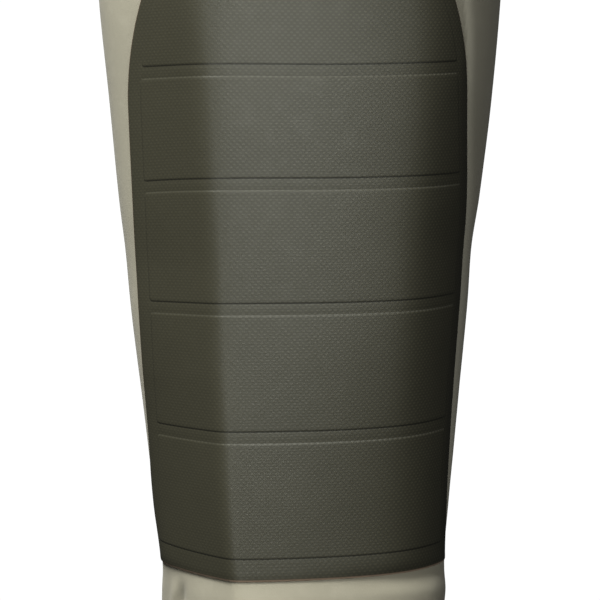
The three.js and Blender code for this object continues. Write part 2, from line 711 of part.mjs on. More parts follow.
function makeKneePatch() {
  const columns = patchColumns();
  const sheet = columns.map(patchColumn);
  const first = [];
  sheet.reduce((count, points) => { first.push(count); return count + points.length; }, 0);
  const layer = (off) => columns.flatMap((column, c) => (
    sheet[c].map((p) => legPoint(p.z, patchArc(p.z, column), off(p)))
  ));
  const lower = layer(() => GAP);
  const upper = layer((p) => GAP + PATCH_SHEET + (p.pad ? PAD_RAISE : 0));
  const face = [];
  for (let c = 0; c < columns.length - 1; c += 1) face.push(...zip(sheet[c], sheet[c + 1], first[c], first[c + 1]));
  const count = lower.length;
  const triangles = [];
  const edges = new Map();
  face.forEach(([a, b, c]) => {
    triangles.push([a + count, b + count, c + count], [a, c, b]);
    [[a, b], [b, c], [c, a]].forEach(([p, q]) => {
      if (edges.has(`${q},${p}`)) edges.delete(`${q},${p}`);
      else edges.set(`${p},${q}`, [p, q]);
    });
  });
  edges.forEach(([p, q]) => triangles.push([p, q, q + count], [p, q + count, p + count]));
  return meshFrom([...lower, ...upper], triangles);
}

// The strap hangs from the outer side of the rim. Its side view is drawn in out, away from the leg,
// and up, from the rim's highest point.
function strapFrame() {
  const along = legSection(LEG_HEIGHT).side - (LEG_TURN * THIGH_DEPTH) / 2;
  const out = new THREE.Vector3(-1, 0, 0);
  const up = new THREE.Vector3(0, 0, 1);
  const across = new THREE.Vector3().crossVectors(out, up);
  return new THREE.Matrix4().makeBasis(out, up, across).setPosition(legPoint(LEG_HEIGHT, along, 0));
}

// Distances of the strap's layers from the leg, to their middles.
const halfWeb = WEBBING_THICKNESS / 2;
const flatLayer = HEM_RAISE + GAP + halfWeb;
const loopLayer = flatLayer + STRAP_REACH;
const sliderLayer = flatLayer + 2 * WEBBING_THICKNESS + 2 * GAP + SLIDER_THICKNESS / 2;
const behindSlider = sliderLayer - SLIDER_THICKNESS / 2 - GAP - halfWeb;
const beforeSlider = sliderLayer + SLIDER_THICKNESS / 2 + GAP + halfWeb;

function turnOf(centreOut, centreUp, radius, from, to) {
  const steps = 6;
  return Array.from({ length: steps + 1 }, (_, i) => {
    const angle = lerp(from, to, i / steps);
    return new THREE.Vector2(centreOut + radius * Math.cos(angle), centreUp + radius * Math.sin(angle));
  });
}

// The middle line of the webbing: up the tab, over the fold, through the slider, round the loop and
// back up against the leg.
function strapPath() {
  const top = -STRAP_BELOW_RIM - FOLD_RADIUS;
  const tabEnd = -STRAP_BELOW_RIM - TAB_LENGTH;
  const turn = STRAP_REACH / 2;
  const bar = SLIDER_BAR / 2 + GAP;
  const window = SLIDER_BAR / 2 + SLIDER_WINDOW - GAP;
  const frame = SLIDER_BAR * 1.5 + SLIDER_WINDOW + GAP;
  const middle = -SLIDER_DEPTH;
  const at = (out, up) => new THREE.Vector2(out, up);
  return [
    at(flatLayer, tabEnd),
    ...turnOf(flatLayer + FOLD_RADIUS, top, FOLD_RADIUS, Math.PI, 0),
    at(behindSlider, middle + frame),
    at(behindSlider, middle + window),
    at(beforeSlider, middle + bar),
    at(beforeSlider, middle - bar),
    at(behindSlider, middle - window),
    at(behindSlider, middle - frame),
    at(loopLayer, middle - frame - STRAP_REACH),
    ...turnOf(flatLayer + turn, turn - STRAP_DROP, turn, 0, -Math.PI),
    at(flatLayer, tabEnd - SLIDER_BAR),
  ];
}

// A path moved sideways by off, with its corners kept at the same distance.
function besides(path, off) {
  return path.map((p, i) => {
    const before = path[Math.max(i - 1, 0)];
    const after = path[Math.min(i + 1, path.length - 1)];
    const into = (i === 0 ? after.clone().sub(p) : p.clone().sub(before)).normalize();
    const outOf = (i === path.length - 1 ? into.clone() : after.clone().sub(p)).normalize();
    const mean = into.clone().add(outOf).normalize();
    const stretch = off / mean.dot(into);
    return new THREE.Vector2(p.x - mean.y * stretch, p.y + mean.x * stretch);
  });
}

function makeBeltStrap() {
  const path = strapPath();
  const shape = new THREE.Shape([...besides(path, halfWeb), ...besides(path, -halfWeb).reverse()]);
  const strap = new THREE.ExtrudeGeometry(shape, { depth: WEBBING_WIDTH, bevelEnabled: false });
  return strap.translate(0, 0, -WEBBING_WIDTH / 2);
}

function roundedRectangle(halfWidth, halfHeight, radius) {
  const shape = new THREE.Shape();
  const corners = [[1, -1], [1, 1], [-1, 1], [-1, -1]];
  corners.forEach(([x, y], i) => {
    const from = (i - 1) * (Math.PI / 2);
    const centre = [x * (halfWidth - radius), y * (halfHeight - radius)];
    shape.absarc(centre[0], centre[1], radius, from, from + Math.PI / 2);
  });
  return shape;
}

function makeStrapSlider() {
  const inside = WEBBING_WIDTH / 2 + SLIDER_PLAY;
  const tall = SLIDER_BAR * 1.5 + SLIDER_WINDOW;
  const shape = roundedRectangle(inside + SLIDER_BAR, tall, SLIDER_CORNER);
  [-1, 1].forEach((side) => {
    const middle = (side * (SLIDER_BAR + SLIDER_WINDOW)) / 2;
    const low = middle - SLIDER_WINDOW / 2;
    const high = middle + SLIDER_WINDOW / 2;
    shape.holes.push(new THREE.Path([
      new THREE.Vector2(-inside, low), new THREE.Vector2(-inside, high),
      new THREE.Vector2(inside, high), new THREE.Vector2(inside, low),
    ]));
  });
  const options = { depth: SLIDER_THICKNESS, bevelEnabled: false, curveSegments: 4 };
  const slider = new THREE.ExtrudeGeometry(shape, options);
  slider.translate(0, 0, -SLIDER_THICKNESS / 2).rotateY(Math.PI / 2);
  return slider.translate(sliderLayer, -SLIDER_DEPTH, 0);
}

// Assembly

const finishes = {
  fabric: new THREE.MeshStandardMaterial({ color: 0xb2ae9b, roughness: 0.7, metalness: 0 }),
  patch: new THREE.MeshStandardMaterial({ color: 0x55543f, roughness: 0.55, metalness: 0 }),
  boot: new THREE.MeshStandardMaterial({ color: 0x3d3b30, roughness: 0.6, metalness: 0 }),
  sole: new THREE.MeshStandardMaterial({ color: 0x26251f, roughness: 0.8, metalness: 0 }),
  footbed: new THREE.MeshStandardMaterial({ color: 0x4a4a46, roughness: 0.9, metalness: 0 }),
  webbing: new THREE.MeshStandardMaterial({ color: 0x3a392e, roughness: 0.85, metalness: 0 }),
  plastic: new THREE.MeshStandardMaterial({ color: 0x22211d, roughness: 0.45, metalness: 0 }),
};

const wader = new THREE.Group();

function add(name, geometry, finish, place = new THREE.Matrix4()) {
  const mesh = new THREE.Mesh(geometry, finishes[finish]);
  mesh.name = name;
  mesh.applyMatrix4(place);
  wader.add(mesh);
}

add('outsole', makeOutsole(), 'sole');
add('insole', makeInsole(), 'footbed');
add('boot_upper', makeBootUpper(), 'boot');
add('leg_shaft', makeLegShaft(), 'fabric');
add('knee_patch', makeKneePatch(), 'patch');
add('belt_strap', makeBeltStrap(), 'webbing', strapFrame());
add('strap_slider', makeStrapSlider(), 'plastic', strapFrame());

export default wader;
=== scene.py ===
import math
from functools import cache

import bmesh
import bpy
import numpy as np
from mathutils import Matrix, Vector
from mathutils.geometry import delaunay_2d_cdt
from mathutils.kdtree import KDTree


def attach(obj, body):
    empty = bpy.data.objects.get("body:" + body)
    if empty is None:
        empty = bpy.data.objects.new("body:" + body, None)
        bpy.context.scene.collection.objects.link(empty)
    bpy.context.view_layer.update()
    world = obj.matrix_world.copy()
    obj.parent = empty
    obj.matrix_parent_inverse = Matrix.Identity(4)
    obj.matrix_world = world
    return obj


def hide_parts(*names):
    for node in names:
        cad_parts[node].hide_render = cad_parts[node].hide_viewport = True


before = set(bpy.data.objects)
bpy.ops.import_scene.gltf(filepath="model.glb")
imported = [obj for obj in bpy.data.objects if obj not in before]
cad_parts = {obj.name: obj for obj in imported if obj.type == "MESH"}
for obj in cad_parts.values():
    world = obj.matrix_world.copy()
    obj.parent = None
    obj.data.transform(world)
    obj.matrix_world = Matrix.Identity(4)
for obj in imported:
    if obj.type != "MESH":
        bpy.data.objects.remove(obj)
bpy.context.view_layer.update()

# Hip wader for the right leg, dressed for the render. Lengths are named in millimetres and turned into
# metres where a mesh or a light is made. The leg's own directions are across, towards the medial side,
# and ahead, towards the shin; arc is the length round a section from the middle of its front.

MM = 0.001
BODY = "root"


def placed(name, data):
    """A new object in the scene, at the origin."""
    obj = bpy.data.objects.new(name, data)
    bpy.context.scene.collection.objects.link(obj)
    return obj


# Camera, as the photograph was taken
PHOTO_WIDTH = 600
SENSOR_WIDTH = 36.0
MM_A_PIXEL = 0.475
VIEW_DISTANCE = 1400.0
VIEW_HEIGHT = 488.0
HORIZON_ROW = 172
LEG_AXIS_Y = -15.0
LEG_TURN = math.radians(12)


def make_camera():
    data = bpy.data.cameras.new("photo_camera")
    data.sensor_width = SENSOR_WIDTH
    pixels_to_focus = VIEW_DISTANCE / MM_A_PIXEL
    data.lens = pixels_to_focus / PHOTO_WIDTH * SENSOR_WIDTH
    camera = placed("photo_camera", data)
    x = math.sin(LEG_TURN) * VIEW_DISTANCE
    y = LEG_AXIS_Y - math.cos(LEG_TURN) * VIEW_DISTANCE
    camera.location = Vector((x, y, VIEW_HEIGHT)) * MM
    dip = math.atan((PHOTO_WIDTH / 2 - HORIZON_ROW) / pixels_to_focus)
    camera.rotation_euler = (math.pi / 2 - dip, 0, LEG_TURN)
    bpy.context.scene.camera = camera


make_camera()

# Sizes, in millimetres
LEG_HEIGHT = 850.0
INNER_RIM_DROP = 72.0
THIGH_WIDTH = 209.5
THIGH_DEPTH = 211.0
FABRIC_WALL = 1.5
BOOT_HEIGHT = 232.0
TUCK = 34.0
HEM_BAND = 30.0
HEM_RAISE = 1.0
GAP = 0.3

PATCH_BOTTOM = 302.3
PATCH_HEIGHT = 329.3
PATCH_ARCH = 110.5
PATCH_OUTER = 114.0
PATCH_INNER = 99.0
PATCH_BORDER = 10.0
CROWN_BORDER = 9.0
PATCH_SHEET = 0.7
PATCH_GAP = 0.15
PAD_RAISE = 0.18
CHANNEL = 5.3
ARCH_SPRING = PATCH_BOTTOM + PATCH_HEIGHT - PATCH_ARCH

FOOT_LENGTH = 292.0
HEEL_OVERHANG = 50.0
BALL_WIDTH = 104.0
ANKLE_WIDTH = 108.0
INSTEP_HEIGHT = 132.0
TOE_TURN = 9.0
RUBBER_WALL = 2.6
FOXING_RAISE = 1.4
COLLAR_RAISE = 1.2
COLLAR_BAND = 23.0
STEP_RUN = 0.8
SOLE_AT_HEEL = 26.0
SOLE_AT_BALL = 14.0
TOE_SPRING = 9.0
WELT = 4.2
WELT_THICKNESS = 4.5
SOLE_SIDE = 2.6
SOLE_TREAD_EDGE = 1.6
ARCH_HEIGHT = 9.0
GROOVE_WIDTH = 4.6
GROOVE_DEPTH = 4.0
LUG_PITCH = 14.5
LENGTH_GROOVES = 38.0
INSOLE_THICKNESS = 4.0
INSOLE_PLAY = 1.2

WEBBING_WIDTH = 38.0
WEBBING_THICKNESS = 1.5
STRAP_DROP = 165.0
STRAP_REACH = 14.0
TAB_LENGTH = 48.0
STRAP_BELOW_RIM = 8.0
FOLD_RADIUS = 3.2
SLIDER_DEPTH = 60.0
SLIDER_THICKNESS = 3.0
SLIDER_BAR = 4.0
SLIDER_WINDOW = 8.0
SLIDER_PLAY = 1.0
SLIDER_CORNER = 3.2
SLIDER_ROUND = 0.55


def table(columns, rows):
    """Columns of numbers by their names. The first column is what the others are read by."""
    return dict(zip(columns.split(), np.array(rows, dtype=float).T))


def rows_of(columns):
    """A table's rows, each a dictionary from names to numbers."""
    return [dict(zip(columns, values)) for values in zip(*columns.values())]


# Sections of the leg, as shares of its height and of the thigh's width and depth
LEG_SECTIONS = table("up outer inner front back ridge shin crown", [
    (0.000, 0.272, 0.281, 0.318, 0.318, -0.038, 2.00, 2.00),
    (0.231, 0.286, 0.291, 0.327, 0.327, -0.048, 1.95, 1.95),
    (0.273, 0.298, 0.308, 0.336, 0.336, -0.072, 1.80, 1.85),
    (0.335, 0.311, 0.329, 0.346, 0.360, -0.119, 1.35, 1.50),
    (0.358, 0.315, 0.329, 0.351, 0.374, -0.129, 1.30, 1.48),
    (0.391, 0.332, 0.337, 0.360, 0.393, -0.138, 1.30, 1.48),
    (0.447, 0.358, 0.358, 0.374, 0.417, -0.153, 1.35, 1.50),
    (0.502, 0.385, 0.380, 0.389, 0.427, -0.172, 1.40, 1.52),
    (0.531, 0.396, 0.387, 0.398, 0.422, -0.181, 1.45, 1.55),
    (0.559, 0.410, 0.404, 0.408, 0.412, -0.191, 1.50, 1.58),
    (0.615, 0.432, 0.433, 0.427, 0.412, -0.205, 1.60, 1.65),
    (0.671, 0.455, 0.454, 0.441, 0.431, -0.220, 1.65, 1.70),
    (0.744, 0.473, 0.470, 0.460, 0.460, -0.191, 1.80, 1.85),
    (0.847, 0.487, 0.484, 0.479, 0.488, -0.119, 1.95, 1.95),
    (1.000, 0.501, 0.499, 0.493, 0.507, -0.048, 2.00, 2.00),
])

# How far a section takes the form that fills it, by height, and what that form adds to the section's
# half widths and takes from its ridge's place
WORN = table("z share outer inner ridge", [
    (245, 0, -1.4, 0.0, 3.4),
    (290, 0.65, -1.4, 0.0, 3.4),
    (308, 1, -1.4, 0.0, 3.4),
    (325, 1, -1.4, 0.4, 3.8),
    (352, 1, -1.4, 0.8, 3.8),
    (395, 1, -1.4, 0.8, 3.0),
    (418, 1, -1.4, 0.8, 1.8),
    (445, 1, -1.4, 1.0, 0.5),
    (475, 1, -1.4, 1.4, 0.0),
    (575, 1, -1.4, 1.5, -0.8),
    (690, 0, -1.4, 1.5, 0.0),
])

# The way a section turns from its ridge to its side, in degrees from straight ahead, by share of the
# distance across
OUTER_FACETS = table("across shin knee", [
    (0.00, 52, 46),
    (0.70, 53, 48),
    (0.86, 56, 52),
    (0.95, 66, 64),
    (1.00, 83, 83),
])
INNER_FACETS = table("across shin knee", [
    (0.00, 2, 2),
    (0.08, 9, 8),
    (0.30, 15, 12),
    (0.50, 21, 16),
    (0.66, 29, 23),
    (0.71, 34, 32),
    (0.76, 41, 45),
    (0.80, 46, 53),
    (0.85, 53, 59),
    (0.89, 59, 64),
    (0.95, 67, 71),
    (1.00, 80, 80),
])

# How far the shin's ridge is rounded at a height, as a length of cloth
RIDGE_ROUNDING = table("z cloth", [(232, 2.0), (300, 2.6), (420, 3.8), (560, 6.2), (700, 9.0)])

# Side edges of the patch below its arch, as shares of its two half widths
PATCH_EDGES = table("up outer inner", [
    (0.000, 0.885, 1.000),
    (0.042, 0.868, 0.980),
    (0.114, 0.845, 0.958),
    (0.180, 0.820, 0.968),
    (0.250, 0.815, 0.994),
    (0.327, 0.813, 1.024),
    (0.382, 0.817, 1.045),
    (0.467, 0.829, 1.062),
    (0.525, 0.831, 1.038),
    (0.609, 0.838, 0.986),
    (0.664, 0.842, 0.962),
])

# Lower edge of each pad, as a share of the patch's height
PAD_EDGES = [0.0295, 0.2065, 0.3832, 0.5545, 0.7103, 0.8615]

# How the patch lies askew: how far its rows are drawn up in the middle, and further at either side
ASKEW = table("up middle outer inner", [
    (0.0000, 0.2, 2.8, 1.0),
    (0.0295, 0.8, 3.2, 1.4),
    (0.2065, 0.6, 1.6, 2.8),
    (0.3832, 0.5, -0.2, 2.3),
    (0.5545, 0.2, -1.6, 2.5),
    (0.7103, -0.5, -0.3, 3.2),
    (0.8615, -0.3, -0.3, 2.0),
])

# Soft folds of the fabric, by height and by share of the way round from the front's middle
FOLDS = table("z round length width depth tilt", [
    (258, -0.10, 62, 9, -1.1, 8),
    (247, 0.06, 70, 8, -0.9, -6),
    (270, 0.20, 80, 11, -1.4, 5),
    (262, -0.30, 90, 12, -1.5, -7),
    (249, 0.46, 100, 10, -1.6, 4),
    (292, 0.40, 90, 14, -1.4, -9),
    (287, -0.172, 26, 3.2, -1.9, 66),
    (420, 0.50, 130, 13, -2.0, 5),
    (447, 0.45, 120, 12, -2.2, -6),
    (472, 0.53, 140, 14, -2.4, 4),
    (500, 0.47, 120, 13, -1.9, -5),
    (665, 0.20, 120, 20, -1.4, 14),
    (700, -0.22, 140, 22, -1.5, -12),
    (735, 0.47, 150, 24, -1.6, 9),
    (690, 0.02, 110, 20, -1.0, 10),
    (762, -0.02, 130, 24, -1.0, -9),
])


def through(at, value, x):
    """A monotone cubic through given values. value may hold several curves, one a column."""
    x = np.clip(np.asarray(x, dtype=float), at[0], at[-1])
    width = np.diff(at)
    shape = (-1,) + (1,) * (value.ndim - 1)
    rise = np.diff(value, axis=0) / width.reshape(shape)
    slope = np.zeros_like(value)
    slope[0] = rise[0]
    slope[-1] = rise[-1]
    product = rise[:-1] * rise[1:]
    total = rise[:-1] + rise[1:]
    safe = np.where(product > 0, total, 1)
    slope[1:-1] = np.where(product > 0, 2 * product / safe, 0)
    i = np.clip(np.searchsorted(at, x, side="right") - 1, 0, len(at) - 2)
    w = width[i].reshape(x.shape + (1,) * (value.ndim - 1))
    t = ((x - at[i]) / width[i]).reshape(w.shape)
    h00 = (1 + 2 * t) * (1 - t) ** 2
    h10 = t * (1 - t) ** 2
    h01 = t * t * (3 - 2 * t)
    h11 = t * t * (t - 1)
    return h00 * value[i] + h10 * w * slope[i] + h01 * value[i + 1] + h11 * w * slope[i + 1]


def curve(columns, name, x):
    """A table's column as a smooth curve."""
    return through(next(iter(columns.values())), columns[name], x)


def straight(columns, name, x):
    """A table's column, read along straight lines from row to row."""
    return np.interp(x, next(iter(columns.values())), columns[name])


def lerp(a, b, t):
    return a + (b - a) * t


def sums(steps):
    """The sum of the steps up to each of them, from 0 on."""
    return np.concatenate([[0], np.cumsum(steps)])


def lengths(line):
    """How far along a flat line each of its points lies."""
    return sums(np.hypot(*np.diff(line, axis=0).T))


def read_line(line, at, where):
    """The points of a flat line at the given lengths along it."""
    return np.stack([np.interp(where, at, line[:, 0]), np.interp(where, at, line[:, 1])], axis=-1)


def smooth(low, high, x):
    """0 at low and 1 at high, softly between them. low may be the larger one."""
    t = np.clip((np.asarray(x, dtype=float) - low) / (high - low), 0, 1)
    return t * t * (3 - 2 * t)


class Leg:
    """The leg's surface: sections worked out once at close levels, and read between them."""

    sections = 341
    samples = 1024
    turns = 1440

    def __init__(self):
        self.levels = np.linspace(BOOT_HEIGHT - TUCK - 6, LEG_HEIGHT + 6, self.sections)
        up = self.levels / LEG_HEIGHT
        s = {name: curve(LEG_SECTIONS, name, up)[:, None] for name in LEG_SECTIONS}
        turn = np.linspace(-math.pi, math.pi, self.turns + 1)[None, :]
        sine, cosine = np.sin(turn), np.cos(turn)
        front = cosine >= 0
        medial = sine >= 0
        ridge = s["ridge"] * THIGH_WIDTH
        middle = np.where(front, ridge, 0)
        reach = np.where(medial, s["inner"] * THIGH_WIDTH - middle, s["outer"] * THIGH_WIDTH + middle)
        fullness = np.where(front, np.where(medial, s["crown"], s["shin"]), 2)
        across = middle + np.sign(sine) * reach * np.abs(sine) ** (2 / fullness)
        depth = np.where(front, s["front"], -s["back"]) * THIGH_DEPTH
        ahead = depth * np.abs(cosine) ** (2 / fullness)
        across, ahead = self.worn_form(across, ahead, s)
        steps = np.hypot(np.diff(across), np.diff(ahead))
        arc = np.concatenate([np.zeros((len(up), 1)), np.cumsum(steps, axis=1)], axis=1)
        self.girth = arc[:, -1]
        self.across = np.empty((len(up), self.samples))
        self.ahead = np.empty_like(self.across)
        self.ridge = np.empty(len(up))
        self.side = np.empty(len(up))
        share = np.arange(self.samples) / self.samples
        frequency = np.fft.rfftfreq(self.samples, 1 / self.samples)
        rounding = straight(RIDGE_ROUNDING, "cloth", self.levels)
        for k in range(len(up)):
            ahead_half = np.where(ahead[k] > 0, np.abs(across[k]), np.inf)
            nearest = int(np.argmin(ahead_half))
            zero = arc[k, nearest] - across[k, nearest]
            self.ridge[k] = arc[k, self.turns // 2] - zero
            self.side[k] = arc[k, self.turns // 4] - zero
            at = np.mod(share * self.girth[k] + zero, self.girth[k])
            blur = np.exp(-0.5 * (2 * math.pi * frequency * rounding[k] / self.girth[k]) ** 2)
            for source, target in ((across, self.across), (ahead, self.ahead)):
                sampled = np.interp(at, arc[k], source[k])
                target[k] = np.fft.irfft(np.fft.rfft(sampled) * blur, self.samples)

    def worn_form(self, across, ahead, s):
        """The knee and shin as they are filled: a flat facet outside the ridge, and a face inside it
        that turns the corner fast and runs back almost straight. Both keep the section's width."""
        shape, narrower, wider, shift = (
            straight(WORN, name, self.levels) for name in ("share", "outer", "inner", "ridge")
        )
        steps = self.turns // 4 + 1
        knee = smooth(320, 430, self.levels)
        for k in np.nonzero(shape > 0)[0]:
            front = s["front"][k, 0] * THIGH_DEPTH
            back = s["back"][k, 0] * THIGH_DEPTH
            ridge = s["ridge"][k, 0] * THIGH_WIDTH - shift[k]
            halves = []
            for side, facets in ((-1, OUTER_FACETS), (1, INNER_FACETS)):
                width = s["inner" if side > 0 else "outer"][k, 0] * THIGH_WIDTH
                width += shape[k] * (wider[k] if side > 0 else narrower[k])
                reach = width - side * ridge
                t = 1 - np.linspace(1, 0, steps) ** 1.6
                degrees = lerp(straight(facets, "shin", t), straight(facets, "knee", t), knee[k])
                slope = np.tan(np.radians(degrees)) * reach
                drop = sums((slope[1:] + slope[:-1]) / 2 * np.diff(t))
                low = front - drop[-1]
                quarter = np.linspace(0, math.pi / 2, steps)[1:]
                x = np.concatenate([ridge + side * reach * t, side * width * np.cos(quarter)])
                y = np.concatenate([front - drop, low - (back + low) * np.sin(quarter)])
                halves.append((x, y))
            outer, inner = halves
            worn_across = np.concatenate([outer[0][::-1], inner[0][1:]])
            worn_ahead = np.concatenate([outer[1][::-1], inner[1][1:]])
            across[k] = lerp(across[k], worn_across, shape[k])
            ahead[k] = lerp(ahead[k], worn_ahead, shape[k])
        return across, ahead

    def girth_at(self, z):
        return np.interp(z, self.levels, self.girth)

    def flat(self, z, arc):
        f = (z - self.levels[0]) / (self.levels[1] - self.levels[0])
        i = np.clip(np.floor(f).astype(int), 0, len(self.levels) - 2)
        t = f - i
        g = np.mod(arc / self.girth_at(z), 1) * self.samples
        j = np.floor(g).astype(int)
        r = g - j
        j0, j1 = j % self.samples, (j + 1) % self.samples

        def read(grid):
            low = (1 - r) * grid[i, j0] + r * grid[i, j1]
            high = (1 - r) * grid[i + 1, j0] + r * grid[i + 1, j1]
            return (1 - t) * low + t * high

        return read(self.across), read(self.ahead)

    def point(self, z, arc, off=0.0):
        """Points on the leg, in millimetres, stood off along the section's normal."""
        z, arc, off = np.broadcast_arrays(*(np.asarray(v, dtype=float) for v in (z, arc, off)))
        across, ahead = self.flat(z, arc)
        reach = 1.0
        before = self.flat(z, arc - reach)
        after = self.flat(z, arc + reach)
        along = np.array([after[0] - before[0], after[1] - before[1]])
        along /= np.hypot(*along)
        across = across - along[1] * off
        ahead = ahead + along[0] * off
        x = across * math.cos(LEG_TURN) + ahead * math.sin(LEG_TURN)
        y = LEG_AXIS_Y + across * math.sin(LEG_TURN) - ahead * math.cos(LEG_TURN)
        return np.stack([x, y, z], axis=-1)

    def arc_of(self, z, across):
        """Where on the front half of the section at z a point lies that far across."""
        arcs = np.linspace(-150, 150, 401)
        return float(np.interp(across, self.flat(np.full(401, z), arcs)[0], arcs))

    def across_of(self, z, arc):
        return float(self.flat(np.array([z]), np.array([arc]))[0][0])


leg = Leg()


def fold_depth(z, arc):
    """How far the fabric stands in or out of the leg's plain form: its folds, calmed behind the patch,
    and a soft swell under the patch's lower edge."""
    girth = leg.girth_at(z)
    depth = np.zeros(np.broadcast(z, arc).shape)
    for f in rows_of(FOLDS):
        away = np.mod(arc / girth - f["round"] + 0.5, 1) - 0.5
        beside = away * girth
        turn = math.radians(f["tilt"])
        along = (z - f["z"]) * math.sin(turn) + beside * math.cos(turn)
        lifted = (z - f["z"]) * math.cos(turn) - beside * math.sin(turn) - 0.0006 * along**2
        trough = np.exp(-((lifted / f["width"]) ** 2))
        ridge = 0.55 * np.exp(-(((lifted - 1.7 * f["width"]) / f["width"]) ** 2))
        fade = np.exp(-((along / (0.55 * f["length"])) ** 4))
        depth = depth + f["depth"] * (trough - ridge) * fade
    below = PATCH_BOTTOM - z
    behind = smooth(13, 1, below) * smooth(-150, -118, arc) * smooth(140, 106, arc)
    above = smooth(PATCH_HEIGHT + 4, PATCH_HEIGHT + 30, -below)
    swell = 0.5 + 1.5 * smooth(5, 55, arc) * smooth(95, 70, arc)
    swell = swell * smooth(0.5, 10, below) * smooth(50, 16, below)
    swell = swell * smooth(-115, -92, arc) * smooth(104, 84, arc)
    depth = depth * np.maximum(1 - behind, above) + swell
    return depth * smooth(BOOT_HEIGHT - 2, BOOT_HEIGHT + 12, z)


# Meshes


def mesh_of(name, points, edges, faces):
    """A mesh from points in millimetres."""
    mesh = bpy.data.meshes.new(name)
    mesh.from_pydata((np.asarray(points) * MM).tolist(), edges, faces)
    return mesh


def soften(mesh, sharp):
    """Makes a mesh's edges soft up to the given angle in degrees."""
    mesh.shade_smooth()
    mesh.set_sharp_from_angle(angle=math.radians(sharp))


def piece_from(name, points, faces, material, sharp=38):
    """A piece from points in millimetres, with soft edges up to the given angle in degrees."""
    mesh = mesh_of(name, points, [], faces)
    soften(mesh, sharp)
    mesh.materials.append(material)
    return placed(name, mesh)


def numbered(grid):
    """The numbers of a grid's points."""
    return np.arange(grid[:, :, 0].size).reshape(grid.shape[:2])


def mark(obj, name, values):
    """A value or a vector for each point of a piece, for its material to read."""
    values = np.asarray(values, dtype=np.float32)
    vector = values.ndim == 2
    layer = obj.data.attributes.new(name, "FLOAT_VECTOR" if vector else "FLOAT", "POINT")
    layer.data.foreach_set("vector" if vector else "value", values.ravel())


def band(first, second, flip=False):
    """Faces between two closed rows of point numbers."""
    first, second = np.asarray(first), np.asarray(second)
    faces = np.stack([first, np.roll(first, -1), np.roll(second, -1), second], axis=-1)
    return (faces[:, ::-1] if flip else faces).tolist()


def hoop_piece(name, grid, material, plan=None, sharp=38):
    """A closed hoop of points: rows go round its section, columns round the hoop. plan gives each
    point's place on the flat cloth, with one column more than the grid, so that it has no jump."""
    numbers = numbered(grid)
    faces = []
    for row, above in zip(numbers, np.roll(numbers, -1, axis=0)):
        faces.extend(band(row, above))
    obj = piece_from(name, grid.reshape(-1, 3), faces, material, sharp)
    if plan is not None:
        above = np.roll(plan, -1, axis=0)
        corners = np.stack([plan[:, :-1], plan[:, 1:], above[:, 1:], above[:, :-1]], axis=2)
        layer = obj.data.uv_layers.new(name="cloth")
        layer.data.foreach_set("uv", corners.astype(np.float32).ravel())
    return obj


def stack_piece(name, rings, material, sharp=38):
    """A solid block from a stack of rings, closed below and above by strips across the ring."""
    numbers = numbered(rings)
    faces = []
    for row, above in zip(numbers, numbers[1:]):
        faces.extend(band(row, above))
    for ring, turned in ((numbers[0], True), (numbers[-1], False)):
        for k in range(len(ring) // 2):
            strip = [ring[-k], ring[k], ring[k + 1], ring[-k - 1]]
            strip = [int(v) for v in dict.fromkeys(strip)]
            faces.append(strip[::-1] if turned else strip)
    return piece_from(name, rings.reshape(-1, 3), faces, material, sharp)


def hold(obj, slot, *nodes):
    """Lets a piece ride with the wader and stand for its solids."""
    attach(obj, BODY)
    for node in nodes:
        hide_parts(node)


# Leg


def rim_height(share):
    """The rim's height, lower on the medial side, at a share of the way round."""
    girth = float(leg.girth_at(LEG_HEIGHT))
    across = leg.flat(np.full(np.shape(share), LEG_HEIGHT), share * girth)[0]
    return LEG_HEIGHT - INNER_RIM_DROP * (0.5 + across / THIGH_WIDTH)


LEG_COLUMNS = 224
LEG_ROWS = 158
# Rows lie closer where the folds above the boot are: share of the rows, share of the height
ROW_SPREAD = table("rows up", [(0, 0), (0.10, 0.105), (0.24, 0.182), (1, 1)])
BACK_SEAM_WIDTH = 15.0
BACK_SEAM_RAISE = 0.45
# Width of the strip of fabric beside the patch's inner edge that is painted paler as a painted highlight,
# at the shin and at the knee
PAINTED_HIGHLIGHT_WIDTH = (26.0, 12.0)

# The hem band in section, from its lower edge over the rim to the inside: how far below the rim, and
# how far out from the leg's surface
HEM_SECTION = [
    (30.9, 0.00), (30.5, 0.22), (30.1, 0.72), (29.6, 0.98), (26.0, 1.00), (20.0, 1.00), (14.0, 1.00),
    (8.0, 1.00), (3.0, 1.00), (1.2, 0.98), (0.5, 0.86), (0.1, 0.50), (0.0, -0.25), (0.1, -1.00),
    (0.5, -1.36), (1.3, -1.50),
]


# How strongly the fabric beside the patch's inner edge is painted paler, as a painted highlight
def painted_highlight_strip(z, arc):
    over = np.clip((z - ARCH_SPRING) / PATCH_ARCH, 0, 1)
    beyond = arc - side_edge(z, 1) * np.sqrt(1 - over**2)
    strip = smooth(lerp(*PAINTED_HIGHLIGHT_WIDTH, smooth(420, 540, z)), 0, beyond) * smooth(-3, 0, beyond)
    return strip * smooth(PATCH_BOTTOM - 4, PATCH_BOTTOM + 12, z) * (over < 1)


